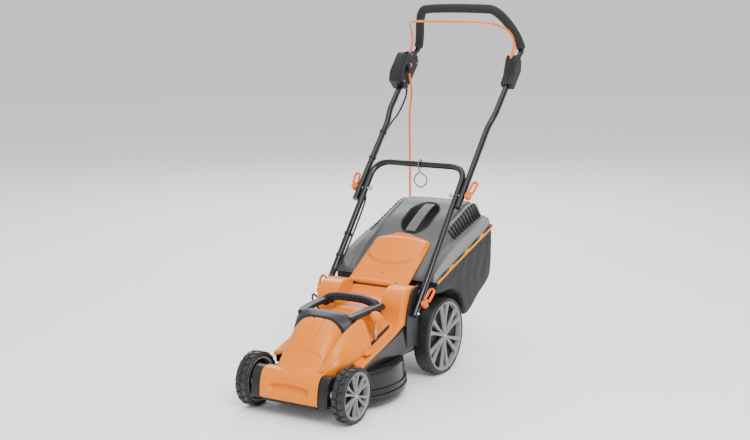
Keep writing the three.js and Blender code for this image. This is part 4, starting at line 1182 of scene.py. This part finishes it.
def collect(groups):
    """Verts and faces of several closed sweeps in one list."""
    verts = []
    faces = []
    for rings in groups:
        base = len(verts)
        verts += [point for ring in rings for point in ring]
        faces += [tuple(base + i for i in face) for face in ring_faces(len(rings), len(rings[0]))]
    return verts, faces


def make_carry_handle():
    """A flat band over the hood, an arm along each side and a round bar across the back, as one ring."""
    band_section = ((-447, -5, 0), (-447, 1.5, 0), (-442, 4, 0.25), (-420, 5.5, 0.8), (-402, 4.5, 1),
                    (-393, 1.5, 1), (-394, -7, 1))
    band = []
    for i in range(49):
        angle = math.pi * mix(0.15, 0.85, i / 48)
        ring = []
        for y, lift, square in band_section:
            half, top = along_stations(HOOD, y)
            across = math.cos(angle)
            over_hood = (half + lift) * squared(across, HOOD_SQUARENESS)
            boxy = (99 + lift) * squared(across, 0.5)
            low = mix(HOOD_FOOT, 206, square)
            rise = math.sin(angle) ** mix(HOOD_RISE, 0.6, square)
            ring.append(at(mix(over_hood, boxy, square), y, mix(low, top + lift, rise)))
        band.append(ring)
    groups = [band]
    for side, sign in sides():
        arm = [(80, -412, 259), (88, -385, 263), (92, -330, 265), (93, -285, 266), (92, -258, 266),
               (88, -242, 256)]
        line = smooth_path([at(sign * x, y, z) for x, y, z in arm], 6)
        groups.append(sweep_rings(line, lambda t: slab_section(31, 15, 6), up=(0, 0, 1)))
    half_bow = [at(98, -262, 254), at(84, -266, 270), at(52, -269, 281)]
    bow = smooth_path([*half_bow, at(0, -271, 284), *reversed(mirrored(half_bow))], 7)
    groups.append(sweep_rings(bow, lambda t: slab_section(29, 25, 10), up=(0, 0, 1)))
    verts, faces = collect(groups)
    merged("carry_grip", verts, faces, 1.8, 8, SLATE, "chassis", replaces=("carry_handle",),
           slot="dark_plastic")


make_carry_handle()


def make_knob():
    low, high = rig.box("height_knob")
    x = (low.x + high.x) / 2 / MM
    y = (low.y + high.y) / 2 / MM - AXIS_Y
    profile = [(0, 214), (5, 214), (6.5, 217), (7.5, 226), (10, 234), (15.5, 240), (19.6, 247), (20.2, 254),
               (17.5, 261), (10.5, 266), (0, 267.6)]
    knob = lathe("lever_knob", profile, ORANGE, "height_control", (x, y, 0), axis="Z", sides=40,
                 replaces=("height_knob",),
                 slot="orange_plastic", sharp=0)
    subdivided(knob, 1)


make_knob()


# ---------- handle tubes, foam and hook ----------
def corner_path(points, corner, steps=12):
    """Straight lines through points in metres, with a smooth bend at each inner one."""
    path = [points[0]]
    for before, here, after in zip(points, points[1:], points[2:]):
        start = here + (before - here).normalized() * corner * MM
        end = here + (after - here).normalized() * corner * MM
        path.append(start)
        path += bezier(start, start.lerp(here, 0.66), end.lerp(here, 0.66), end, steps)
    path.append(points[-1])
    return path


def make_lower_tube():
    below_foot = 24
    foot_y = LOWER_FOOT[0] - below_foot * math.cos(LOWER_LEAN)
    foot_z = LOWER_FOOT[1] - below_foot * math.sin(LOWER_LEAN)
    half = [at(LOWER_X, foot_y, foot_z), at(LOWER_X, *CROSSBAR)]
    corners = half + list(reversed(mirrored(half)))
    tube("lower_tube", corner_path(corners, 58), TUBE, TUBE_PAINT, "chassis", replaces=("lower_handle",),
         slot="black_tube")
    hook = [at(0, 175, 618), at(0, 187, 628), at(0, 178, 645), at(0, 160, 640), at(0, 158, 622),
            at(4, 168, 604), at(21, 172, 590),
            at(21, 172, 570), at(0, 172, 556), at(-21, 172, 570), at(-21, 172, 588), at(-6, 172, 603)]
    tube("cord_hook", smooth_path(hook, 8), 2.2, WIRE, "chassis", sides=14, replaces=("cable_hook",),
         slot="bright_steel")


LOOP_START = at(LOOP_X, 499.5, 973.2)
LOOP_PULLS = (at(LOOP_X, 574, 986.6), at(166.9, 436.8, 1123.9))
LOOP_TOP = at(116.8, 436.8, 1123.9)
LOOP_CURVE = bezier(LOOP_START, *LOOP_PULLS, LOOP_TOP, 36)


def make_upper_tube():
    bend_start = at(UPPER_X, *UPPER_BEND)
    leg = [at(UPPER_X, FOLD[0] - 32, FOLD[1] - 34), bend_start]
    leg += bezier(bend_start, at(UPPER_X, 292, 758), at(197.5, 312, 782), at(197.5, 329, 799), 10)
    leg += [LOOP_START, *LOOP_CURVE]
    path = leg + list(reversed(mirrored(leg)))
    tube("upper_tube", path, TUBE, TUBE_PAINT, "upper_frame", replaces=("upper_handle",), slot="black_tube")


def make_foam():
    half = LOOP_CURVE[5:]
    path = half + list(reversed(mirrored(half)))
    path = smooth_path(path[::3] + [path[-1]], 5)

    end_radius = 11.2
    foam_length = 900

    def radius(t):
        near_end = min(t, 1 - t) * foam_length
        rounded = math.sqrt(max(0.0, 1 - max(0.0, 1 - near_end / 4.0) ** 2))
        uneven = 0.25 * math.sin(t * 61) * math.sin(t * 23)
        return end_radius + (GRIP - end_radius) * rounded + uneven

    foam = tube("handle_foam", path, radius, FOAM, "upper_frame", sides=32, replaces=("foam_grip",),
                slot="black_foam")
    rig.padded(foam, fill=0.9)


make_lower_tube()
make_upper_tube()
make_foam()


# ---------- quick-release levers, ears and bolts ----------
TUBE_SLOPE = math.atan2(UPPER_BEND[1] - FOLD[1], UPPER_BEND[0] - FOLD[0])
FOOT_BOLT = (-150, 257)
CAM_REACH = TUBE + 10.5


def turned_about(y0, z0, slope):
    """Places points given in a frame that leans with a tube, at (y0, z0)."""
    def place(x, y, z):
        return at(x, y0 + y * math.cos(slope) - z * math.sin(slope),
                  z0 + y * math.sin(slope) + z * math.cos(slope))
    return place


def make_cam(node, body, sign, x, y0, z0):
    """A quick-release lever: a drum on the bolt, a neck and a long loop for the fingers."""
    place = turned_about(y0, z0, TUBE_SLOPE)
    ring = []
    ends = ((4.0, 19.0), (8.0, 46.0))
    end_radius = 8.6
    lean = math.atan2(ends[1][1] - ends[0][1], ends[1][0] - ends[0][0])
    for which, (u, v) in enumerate(ends):
        for i in range(9):
            angle = lean + math.pi / 2 - math.pi * which + math.pi * i / 8
            ring.append((u + end_radius * math.cos(angle), v + end_radius * math.sin(angle)))
    loop = [place(sign * (x + u), v, 0) for u, v in ring + ring[:2]]
    across = place(0, 0, 1) - place(0, 0, 0)
    groups = [sweep_rings(loop, lambda t: slab_section(6.0, 10, 2.2), up=across)]
    drum = [place(sign * x, 0, z) for z in (-9, -8.2, 8.2, 9)]
    groups.append(sweep_rings(drum, lambda t: circle(10.2 if 0.2 < t < 0.8 else 8.6, 24)))
    neck = [place(sign * (x + u), v, 0) for u, v in ((0, 2), (2, 8), (4, 15))]
    groups.append(sweep_rings(neck, lambda t: slab_section(11 - 2 * t, 13, 3), up=across))
    verts, faces = collect(groups)
    merged(node + "_loop", verts, faces, 1.1, 4, CAM_ORANGE, body, replaces=(node,), slot="cam_plastic")


def make_ear(side, sign):
    outline = [(-206, 122), (-202, 118), (-138, 118), (-134, 122), (-134, 246), (-128, 256), (-118, 264),
               (-112, 280), (-112, 296), (-118, 304), (-130, 309), (-150, 308), (-164, 302), (-178, 286),
               (-192, 258), (-202, 228), (-206, 208)]
    low, high = sorted((sign * (DECK["wall_x"] + 3), sign * (LOWER_X - TUBE + 0.5)))
    prism_x(f"handle_ear_{side}", outline, low, high, SLATE, "chassis", bevel=2,
            replaces=(f"handle_bracket_{side}",), slot="dark_plastic")
    outside = LOWER_X + TUBE
    for name, y, z, reach in (("peg", -172, 231.5, outside + 4), ("bolt", *FOOT_BOLT, outside + 6)):
        profile = [(0, 152), (4, 152), (4, reach - 1.5), (2.8, reach), (0, reach)]
        lathe(f"ear_{name}_{side}", profile, STEEL, "chassis", (0, y, z), sides=24, sign=sign,
              slot="bright_steel")
    cap = [(0, 158), (12, 158), (12.5, 160), (11, 163), (0, 164)]
    lathe(f"ear_boss_{side}", cap, SATIN_BLACK, "chassis", (0, -128, 285), sides=32, sign=sign,
          slot="black_plastic")


for side_name, side_sign in sides():
    make_cam(f"fold_cam_{side_name}", f"fold_release_{side_name}", side_sign, UPPER_X + CAM_REACH, *FOLD)
    make_cam(f"foot_cam_{side_name}", f"foot_release_{side_name}", side_sign, LOWER_X + CAM_REACH,
             *FOOT_BOLT)
    make_ear(side_name, side_sign)


# ---------- switch box, bail and bracket ----------
LEG = (425, 897)
LEG_SLOPE = math.atan2(174.2, 170.5)
on_leg = turned_about(*LEG, LEG_SLOPE)
PIVOT_Y = (BAIL_PIVOT[0] - LEG[0]) * math.cos(LEG_SLOPE) + (BAIL_PIVOT[1] - LEG[1]) * math.sin(LEG_SLOPE)
PIVOT_Z = (BAIL_PIVOT[1] - LEG[1]) * math.cos(LEG_SLOPE) - (BAIL_PIVOT[0] - LEG[0]) * math.sin(LEG_SLOPE)
FORK_Y = PIVOT_Y - 12
FORK_Z = PIVOT_Z - 14


def leg_spot(x, y, z):
    """The place that on_leg gives for (y, z), in millimetres and at another x."""
    point = on_leg(0, y, z)
    return (x, point.y / MM - AXIS_Y, point.z / MM)


def forked(name, outline, sign, spans, replaces):
    """A case along the tube in three slices, the middle one cut back round the bail's foot."""
    open_outline = [(min(y, FORK_Y), z) for y, z in outline]
    for part, shape in enumerate((outline, open_outline, outline)):
        low, high = sorted((sign * spans[part], sign * spans[part + 1]))
        prism_x(f"{name}_{part}", shape, low, high, SLATE, "upper_frame", bevel=2.6 if part != 1 else 0.8,
                place=on_leg, replaces=replaces if part == 0 else (), slot="dark_plastic")


def make_switch_box():
    outline = [(-52, -10), (-48, -14), (66, -14), (80, 4), (82, 14), (80, 36), (64, 50), (52, 53),
               (-20, 51), (-34, 46), (-52, 32)]
    forked("switch_case", outline, -1, (174, 186.5, 200.5, 201), ("switch_case_inner",))
    prism_x("switch_case_back", outline, -229, -201.4, SLATE, "upper_frame", bevel=4.5, place=on_leg,
            replaces=("switch_case_outer",), slot="dark_plastic")
    button = leg_spot(0, 22, 30)
    bezel = [(8.8, 171.5), (9.6, 170.6), (12.6, 170.9), (13.4, 172.2), (13.4, 175), (8.8, 175),
             (8.8, 171.5)]
    lathe("button_bezel", bezel, SATIN_BLACK, "upper_frame", button, sides=40, sign=-1)
    cap = [(0, 168.4), (5, 168.8), (7.2, 169.8), (8, 171.4), (8, 179), (0, 179)]
    lathe("button_cap", cap, CAM_ORANGE, "lock", button, sides=32, sign=-1, replaces=("lock_button",),
          slot="cam_plastic")
    screw_head = ((0, 1.2), (1.2, 1.2), (1.5, 0), (2.6, 0.3), (3.1, 1.4), (3.1, 3))
    for k, (y, z) in enumerate(((-42, 22), (-36, -6), (60, -4), (58, 44))):
        for which, face in (("in", 173.2), ("out", 228.4)):
            profile = [(radius, face + step) for radius, step in screw_head]
            lathe(f"case_screw_{k}_{which}", profile, STEEL, "upper_frame", leg_spot(0, y, z), sides=20,
                  sign=-1,
                  slot="bright_steel")


def make_bail_bracket():
    outline = [(-34, -14), (46, -14), (60, -3), (72, 10), (74, 24), (72, 38), (60, 41), (50, 40), (24, 28),
               (0, 17), (-34, 14)]
    forked("bail_bracket_case", outline, 1, (179.5, 186.5, 200.5, 222), ("bail_bracket",))
    cap = [(0, 0.9), (4.4, 0.7), (5.4, -0.4), (5.4, -2)]
    for side, sign, face in (("right", -1, 229.6), ("left", 1, 222.2)):
        spot = leg_spot(sign * face, PIVOT_Y, PIVOT_Z)
        lathe(f"pivot_cap_{side}", cap, SATIN_BLACK, "upper_frame", spot, sides=32, sign=sign)


def make_bail():
    y, z = BAIL_PIVOT
    arm_top = (463.8, 990.6)
    start = at(BAIL_X, *arm_top)
    half = [at(BAIL_X, y + 4, z + 8), start]
    half += bezier(start, at(BAIL_X, 500.1, 1069.3), at(170, 342.7, 1085.5), at(95.1, 342.7, 1085.5), 30)
    tube("bail_wire", half + list(reversed(mirrored(half))), 3.6, BAIL_PAINT, "bail", sides=16,
         replaces=("bail_lever",),
         slot="bail_paint")
    for side, sign in sides():
        spots = ((y - 2, z - 4), (y + 5, z + 11), arm_top, (474.0, 1012.0))
        arm = [at(sign * BAIL_X, *spot) for spot in spots]
        rings = sweep_rings(smooth_path(arm, 6), lambda t: slab_section(9.4 - 2.2 * t, 7.4, 2),
                            up=(1, 0, 0))
        loft(f"bail_arm_{side}", rings, BAIL_PAINT, "bail", slot="bail_paint")
        eye = [(0, -4.5), (7, -4.5), (8, -3.5), (8, 3.5), (7, 4.5), (0, 4.5)]
        lathe(f"bail_eye_{side}", eye, BAIL_PAINT, "bail", (sign * BAIL_X, y, z), sides=32,
              slot="bail_paint")


make_switch_box()
make_bail_bracket()
make_bail()


# ---------- flap ----------
def on_slope(x, v, h):
    """A point above the flap: v along its slope from the hinge, h square to it."""
    y, z = FLAP_HINGE
    return at(x, y + v * math.cos(FLAP_SLOPE) - h * math.sin(FLAP_SLOPE),
              z + v * math.sin(FLAP_SLOPE) + h * math.cos(FLAP_SLOPE))


def make_flap():
    rows = []
    tall, wide = 90, 76
    for i in range(tall + 1):
        t = i / tall
        ring = []
        for k in range(wide + 1):
            u = 2 * k / wide - 1
            half = 107 - 5 * t
            corner = max(0.0, (t - 0.87) / 0.13)
            half -= 20 * (1 - math.sqrt(max(0.0, 1 - corner**2)))
            x = half * u
            v = mix(3, 209, t)
            v += 5 * smoothstep(0.9, 1.0, t) * (1 - smoothstep(24, 40, abs(x)))
            crown = 17 * t * t * (1 - u * u)
            boundary = 0.40 + 0.24 * abs(u) ** 2.4
            pad = smoothstep(boundary - 0.02, boundary + 0.035, t)
            pad *= (1 - smoothstep(0.86, 0.94, abs(u))) * (1 - smoothstep(0.9, 0.965, t))
            lip = 2.4 * smoothstep(0.955, 1.0, t) * (1 - smoothstep(24, 42, abs(x)))
            turn_down = 4.0 * smoothstep(0.95, 1.0, abs(u)) ** 2
            ring.append(on_slope(x, v, crown + 6.5 * pad + lip - turn_down))
        rows.append(ring)
    skin("flap_skin", rows, ORANGE, "flap", 2.6, replaces=("rear_flap",), slot="orange_plastic")
    barrel = [(7.4, -69), (9.2, -69), (9.6, -68), (9.6, 68), (9.2, 69), (7.4, 69), (7.4, -69)]
    lathe("flap_barrel", barrel, ORANGE, "flap", (0, *FLAP_HINGE), sides=40, slot="orange_plastic")
    dot = [on_slope(0, 46, h) for h in (-2, 0.6, 1.6)]
    tube("flap_stud", dot, lambda t: 2.9 if t < 0.9 else 1.8, SATIN_BLACK, "flap", sides=20)
    for side, sign in sides():
        knuckle = [(3.4, 70), (5.4, 70), (6, 70.8), (6, 97.2), (5.4, 98), (3.4, 98)]
        lathe(f"flap_knuckle_{side}", knuckle, ORANGE, "flap", (0, *FLAP_HINGE), sides=28, sign=sign,
              slot="orange_plastic")


make_flap()


# ---------- grass box ----------
LID_TABLE = [(-62, 308, 334, 327, 317, 0), (20, 332, 372, 388, 368, 0), (90, 352, 396, 420, 406, 0),
             (160, 372, 414, 447, 452, 0), (226, 391, 430, 470, 479, 0), (268, 402, 440, 484, 494, 0),
             (320, 417, 446, 484, 493, 3), (345, 424, 436, 458, 466, 14)]


def lid_section(y):
    """Half of the lid's cross-section at y as (x, z) points, from its lower edge to the middle."""
    edge, band, shoulder, middle, narrow = along_stations(LID_TABLE, y)
    ridge = 4.0 * smoothstep(60, 140, y)
    return [
        (181.5 - narrow, edge - 3), (182 - narrow, edge + 1), (180.4 - narrow, edge + 5),
        (180 - narrow, mix(edge, band, 0.55)), (179.2 - narrow, band - 2.5), (177.5 - narrow, band),
        (172 - narrow, band + 1.2), (166 - narrow, band + 1.5), (164 - narrow, band + 4.0),
        (157 - narrow, band + 5.0), (150 - narrow, band + 6), (146 - narrow, mix(band + 6, shoulder, 0.25)),
        (138 - narrow * 0.7, mix(band + 6, shoulder, 0.8)), (134 - narrow * 0.6, shoulder - 0.5),
        (130 - narrow * 0.4, shoulder + ridge), (124, shoulder + ridge + 1), (118, shoulder + ridge),
        (114, shoulder + 0.5), (109, mix(shoulder, middle, 0.8)), (102, middle + 0.6), (84, middle + 1.6),
        (60, middle + 2.6), (40, middle + 3.2), (20, middle + 3.6),
    ]


def lid_top(y):
    return along_stations(LID_TABLE, y)[3] + 3.8


def lid_line(y):
    """The lid's whole cross-section at y."""
    half = lid_section(y)
    return half + [(-x, z) for x, z in reversed(half)]


def lid_closing(y, end_y, share):
    """A row that closes an end of the lid: the cross-section at y, lowered to a share of its height."""
    line = lid_line(y)
    foot = line[0][1]
    return [at(x * (0.985 + 0.015 * share), end_y, mix(foot, z, share)) for x, z in line]


def capsule_points(radius, steps=20):
    """A slot's outline: two half circles about the ends of the lid's opening."""
    points = []
    for turn, y in enumerate((196, 150)):
        for i in range(steps + 1):
            angle = math.pi * turn + math.pi * i / steps
            points.append((radius * math.cos(angle), y + radius * math.sin(angle)))
    return points


def carved(obj, cutter):
    """Cuts the cutter out of obj's final shape and keeps the result as its mesh."""
    modifier = obj.modifiers.new("opening", "BOOLEAN")
    modifier.operation = "DIFFERENCE"
    modifier.solver = "EXACT"
    modifier.object = cutter
    bpy.context.view_layer.update()
    evaluated = obj.evaluated_get(bpy.context.evaluated_depsgraph_get())
    mesh = bpy.data.meshes.new_from_object(evaluated)
    obj.modifiers.clear()
    obj.data = mesh
    bpy.data.objects.remove(cutter)


def make_lid():
    front_y, back_y = LID_TABLE[0][0], LID_TABLE[-1][0]
    front_rows = ((-70, 0.05), (-69.5, 0.3), (-68, 0.62), (-65.5, 0.86))
    rows = [lid_closing(front_y, y, share) for y, share in front_rows]
    for i in range(75):
        y = mix(front_y, back_y, i / 74)
        rows.append([at(x, y, z) for x, z in lid_line(y)])
    back_rows = ((347.4, 0.86), (348.6, 0.6), (349, 0.25), (348, 0.05))
    rows += [lid_closing(back_y, y, share) for y, share in back_rows]
    lid = loft("lid_shell", rows, LID, "grass_box", closed=False, replaces=("box_lid",), slot="lid_plastic",
               sharp=0)
    lid.data.materials.append(LID_PAINTED_LIGHT)
    # Painted light: the outer side walls between the lid's lower edge and its flange take the lighter copy of the
    # lid's plastic.
    columns = len(rows[0])
    for index, polygon in enumerate(lid.data.polygons):
        column = index % (columns - 1)
        if min(column, columns - 2 - column) in (2, 3, 4):
            polygon.material_index = 1
    thickened(lid, 2.5)
    outline = capsule_points(51.5)
    cutter = loft("lid_cutter", [[at(x, y, z) for x, y in outline] for z in (300, 560)], LID, None)
    carved(lid, cutter)
    lid.data.shade_smooth()
    lid.data.set_sharp_from_angle(angle=math.radians(32))


def make_lid_recess():
    """A deep dish under the lid's opening, whose lip lies on the lid's edge, made in a darker copy of the lid's
    plastic as painted shade.
    """
    lip = ((54.5, 1.0), (53.6, 1.2), (52.4, 0.5), (51.6, -1.4), (50.8, -6))
    below = ((49.6, 0.5), (48.0, 0.16), (44.5, 0.05), (38, 0.0))
    rings = []
    for radius, height in lip:
        rings.append([at(x, y, lid_top(y) + height) for x, y in capsule_points(radius)])
    for radius, share in below:
        rings.append([at(x, y, mix(330 + 0.5 * y, lid_top(y), share)) for x, y in capsule_points(radius)])
    # The dish is painted darker than the lid: painted shade inside the opening.
    dish = loft("lid_recess", rings, LID_PAINTED_SHADE, "grass_box", slot="lid_plastic", sharp=45)
    work = bmesh.new()
    work.from_mesh(dish.data)
    wall_z = rings[len(lip)][0].z
    top_faces = [face for face in work.faces if len(face.verts) > 8 and face.calc_center_median().z > wall_z]
    bmesh.ops.delete(work, geom=top_faces, context="FACES_ONLY")
    bmesh.ops.recalc_face_normals(work, faces=work.faces)
    work.to_mesh(dish.data)
    work.free()
    thickened(dish, 1.8, offset=0)


def make_lid_tongue():
    tongue = [[at(x, y, z) for x in (-97, -60, 0, 60, 97)] for y, z in ((-104, 294.5), (-60, 317))]
    front = loft("lid_tongue", tongue, LID, "grass_box", closed=False, slot="lid_plastic")
    thickened(front, 3)


def strap_section():
    """A flat strap with five ridges along its top."""
    half = 17
    section = [(half, -2), (half, 1.2)]
    for rib in range(5):
        centre = 13 - 6.5 * rib
        section += [(centre + 2.4, 1.6), (centre + 1.6, 2.9), (centre - 1.6, 2.9), (centre - 2.4, 1.6)]
    return section + [(-half, 1.2), (-half, -2)]


def make_strap():
    spots = ((100, 422), (104, 424.5), (150, 450), (200, 473.5), (238, 486), (246, 486))
    line = smooth_path([at(0, y, z) for y, z in spots], 7)
    rings = sweep_rings(line, lambda t: strap_section(), up=(0, 0, 1))
    loft("lid_strap", rings, STRAP, "grass_box", replaces=("box_grip",), slot="strap_plastic", sharp=30)


def make_vents():
    """Slanted fins across the slope of the lid's side, one row on each side."""
    for side, sign in sides():
        verts = []
        faces = []
        count = 10
        for k in range(count + 1):
            y = mix(112, 292, k / count)
            section = lid_section(y)
            low, high = section[9], section[14]
            base = len(verts)
            for lift, shift in ((-6.0, 0), (4.2, 2), (4.6, 8), (-6.0, 13)):
                for x, z in (low, high):
                    verts.append(at(sign * (x + 0.35 * lift), y + shift - 0.12 * abs(x - low[0]),
                                    z + 0.9 * lift + 1))
            for a, b in ((0, 2), (2, 4), (4, 6), (6, 0)):
                faces.append((base + a, base + a + 1, base + b + 1, base + b))
            faces.append((base, base + 2, base + 4, base + 6))
            faces.append((base + 7, base + 5, base + 3, base + 1))
        fins = piece(f"lid_vents_{side}", verts, faces, SATIN_BLACK, "grass_box", slot="black_plastic",
                     sharp=25)
        rounded_edges(fins, 1.1, 2)


def trim_line(y):
    """Height of the piping along the box's side."""
    keys = [(-58, 303), (20, 328), (160, 368), (322, 413), (333, 416.5)]
    return along_stations(keys, y)[0]


def make_clips():
    """Clips along the lid's edge, long black ones and short ones of the piping's colour in turn."""
    kinds = ((34, SATIN_BLACK, "black_plastic"), (22, PIPING, "trim_plastic"))
    section = ((180.5, -7.5), (184.6, -7), (185.2, -3), (184.6, 1.6), (180.5, 2.4))
    for side, sign in sides():
        for k in range(7):
            y0 = mix(-30, 296, k / 6)
            span, material, slot = kinds[k % 2]
            rows = []
            for i in range(5):
                y = y0 + span * i / 4
                z = along_stations(LID_TABLE, min(y, LID_TABLE[-1][0]))[0]
                rows.append([at(sign * x, y, z + h) for x, h in section])
            clip = loft(f"lid_clip_{side}_{k}", rows, material, "grass_box", slot=slot)
            rounded_edges(clip, 0.8, 2)


BAG_HALF = 179.0
BAG_OUTLINE = [(-60, 304), (-57, 270), (-20, 259), (60, 256), (100, 232), (116, 208), (134, 170),
               (160, 152), (240, 194), (322, 238), (331, 268), (332, 320), (331, 370), (331, 417)]


def bag_section(z, top):
    """The bag's cross-section as (x, z) points: down one side, across the bottom and up the other."""
    corner = min(16.0, (top - z) * 0.45 + 0.5)
    inside = BAG_HALF - corner
    line = [(BAG_HALF, mix(top, z + corner, i / 16)) for i in range(17)]
    for i in range(1, 7):
        angle = math.pi / 2 * i / 6
        line.append((inside + corner * math.cos(angle), z + corner - corner * math.sin(angle)))
    line += [(mix(inside, 0, i / 16), z) for i in range(1, 17)]
    return line + [(-x, h) for x, h in reversed(line[:-1])]


def arch(share):
    """0 at both ends of a share that runs from 0 to 1, and 1 halfway."""
    return math.sin(math.pi * min(1.0, max(0.0, share)))


def slack(x, y, h, z, top):
    """A point of the cloth moved by its creases and folds, by the swell of its sides and by its sag."""
    tall = top - z
    rear = smoothstep(300, 331, y)
    across = 1 - (x / 180) ** 2
    spot = Vector((x, y, h)) * 0.014
    crease = noise.noise(spot) * 1.5 + noise.noise(spot * 2.7 + Vector((7, 1, 3))) * 0.8
    held = smoothstep(0, 26, top - h)
    swell = 5.5 * arch((top - h) / max(tall, 1)) * held * smoothstep(60, 140, tall)
    folds = 0.5 * math.sin(y * 0.11 + 2.0 * math.sin(h * 0.03)) * held * smoothstep(40, 120, tall)
    out = math.copysign(swell * 0.35 + (crease + folds) * held, x) if abs(x) > 150 else 0.0
    back = rear * across * (11 * arch((h - 238) / 178) + 1.5 * crease * held)
    drop = (1 - rear) * across * smoothstep(130, 170, y) * (4.5 + 2.0 * crease) if h < z + 2 else 0.0
    return at(x + out, y + back, h - drop)


def make_bag():
    outline = smooth_path([Vector((0, y, z)) for y, z in BAG_OUTLINE], 8)
    rings = []
    for point in outline:
        y, z = point.y, point.z
        top = max(trim_line(min(y, 333)) - 1, z)
        rings.append([slack(x, y, h, z, top) for x, h in bag_section(z, top)])
    bag = loft("bag_cloth", rings, CLOTH, "grass_box", closed=False, replaces=("grass_bag",),
               slot="bag_fabric", sharp=0)
    make_bag_mouth()
    area = sum(face.area for face in bag.data.polygons)
    girth = max(path_length(ring) for ring in rings)
    along = path_length([at(*point) for point in outline])
    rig.sheet(bag, flat=(round(girth, 3), round(along, 3)), held="stretched", rests_on=("lid_shell",),
             area=round(area, 4))


def make_bag_mouth():
    tunnel = []
    for y in (-86, -60, -30, 0, 40, 80, 108, 128):
        low = 152 + max(y - 100, 0) * 0.6
        points = [(89, 291), (97, 283), (97, low + 8), (89, low), (-89, low), (-97, low + 8), (-97, 283),
                  (-89, 291)]
        tunnel.append([at(x, y, z) for x, z in points])
    mouth = loft("bag_mouth", tunnel, SATIN_BLACK, "grass_box", caps=False, sharp=35)
    thickened(mouth, 2.5)


def make_piping():
    half = [at(184, -58, 302)]
    half += [at(185.6, y, z) for y, z in ((20, 327), (90, 347.5), (160, 367), (240, 389.5), (312, 409.5))]
    half += [at(182, 333, 416), at(172, 344, 418), at(90, 346, 419)]
    path = smooth_path([*half, at(0, 346, 419), *reversed(mirrored(half))], 6)
    tube("bag_piping", path, 3.3, PIPING, "grass_box", sides=14, replaces=("bag_trim",),
         slot="trim_plastic")
    section = ((179.4, -15), (181.2, -14), (181.6, -3), (179.4, -1))
    for side, sign in sides():
        hem = []
        for i in range(41):
            y = mix(-56, 326, i / 40)
            z = trim_line(y)
            hem.append([at(sign * x, y, z + h) for x, h in section])
        loft(f"bag_hem_{side}", hem, CLOTH, "grass_box", closed=False, slot="bag_fabric")


make_lid()
make_lid_recess()
make_lid_tongue()
make_strap()
make_vents()
make_clips()
make_bag()
make_piping()


# ---------- cables ----------
def beside_tube(origin, lean, x):
    """Places points by their distance along a leaning tube, across it and below it."""
    def place(along, across, below):
        return at(x + across, origin[0] + along * math.cos(lean) + below * math.sin(lean),
                  origin[1] + along * math.sin(lean) - below * math.cos(lean))
    return place


on_lower = beside_tube(LOWER_FOOT, LOWER_LEAN, -LOWER_X)
on_upper = beside_tube(FOLD, TUBE_SLOPE, -UPPER_X)


def make_motor_cable():
    under = TUBE + CABLE + 1.4
    fold_along = math.hypot(FOLD[0] - LOWER_FOOT[0], FOLD[1] - LOWER_FOOT[1])
    route = [
        at(-112, -262, 226), at(-134, -258, 240), at(-156, -242, 253), at(-167, -222, 262),
        on_lower(-12, 0, -under - 3), on_lower(20, 0, -under - 1), on_lower(60, 0, -under),
        on_lower(96, 11, -10),
        on_lower(132, under, 0), on_lower(180, 11, 10), on_lower(fold_along - 60, 11, 10),
        on_lower(fold_along - 28, 4, under),
        on_lower(fold_along - 4, -5, under), on_upper(56, 0, under), on_upper(150, 0, under),
        on_upper(236, -1, under),
        at(-190, 318, 746), at(-192, 356, 764), at(-193, 394, 792), at(-192, 421, 826), at(-191, 425, 851),
        at(-191, 414.8, 864.8),
    ]
    path = smooth_path(route, 8)
    cable = tube("motor_cable", path, CABLE, CABLE_JACKET, None, sides=14,
                 replaces=("motor_cable_lower", "motor_cable_upper"),
                 slot="cable_jacket")
    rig.blend(cable, "chassis", "upper_frame", on_lower(fold_along - 30, 0, 0),
             on_lower(fold_along + 30, 0, 0))
    length = path_length(path)
    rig.cord(cable, exit=tuple(path[0]), length=round(length, 3), diameter=2 * CABLE * MM, far_end="object",
            stiffness="medium",
            lay="taut", path=[tuple(point) for point in path])


def make_cable_clips():
    clips = [(on_lower, along, "chassis") for along in (60, 150, 232)]
    clips += [(on_upper, along, "upper_frame") for along in (120, 226)]
    for k, (place, along, body) in enumerate(clips):
        spots = [place(along + shift, 0, 0) for shift in (-5, -4, 4, 5)]
        tube(f"cable_clip_{k}", spots, lambda t: TUBE + (2.2 if 0.1 < t < 0.9 else 1.2), SATIN_BLACK, body,
             slot="black_plastic")


def make_lead_relief():
    relief = [at(-167.5, 398 + 4 * i / 24, 938 - 30 * i / 24) for i in range(25)]

    def relief_radius(t):
        rib = 0.55 if math.sin(t * 48) > 0 else -0.35
        return mix(6.4, 4.7, t) + rib * (1 if 0.12 < t < 0.92 else 0)

    tube("lead_relief", relief, relief_radius, SATIN_BLACK, "upper_frame", sides=24,
         replaces=("lead_gland",), slot="black_rubber")
    elbow = [(0, 163), (6.2, 163), (7, 164.5), (7, 174), (0, 174)]
    lathe("lead_elbow", elbow, SATIN_BLACK, "upper_frame", (0, 398, 938), sides=28, sign=-1,
          slot="black_rubber")


make_motor_cable()
make_cable_clips()
make_lead_relief()


# ---------- floor ----------
def make_floor():
    floor_paint = moulded("floor_paint", (0.95, 0.95, 0.95), 0.7, spread=0.01, scale=60)
    shader_of(floor_paint).inputs["Emission Color"].default_value = (1, 1, 1, 1)
    shader_of(floor_paint).inputs["Emission Strength"].default_value = 0.04
    reach = 40000
    level = -0.3
    corners = [(x * reach, y * reach, level) for x, y in ((-1, -1), (1, -1), (1, 1), (-1, 1))]
    floor = piece("floor", [Vector(corner) * MM for corner in corners], [(0, 1, 2, 3)], floor_paint, None,
                  sharp=0)
    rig.stage(floor)


make_floor()


# ---------- finish ----------
def write_sizes(before, after):
    with open("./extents.json", "w") as file:
        json.dump({"before": [list(corner) for corner in before],
                   "after": [list(corner) for corner in after]}, file)


write_sizes(CAD_BOUNDS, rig.bounds())
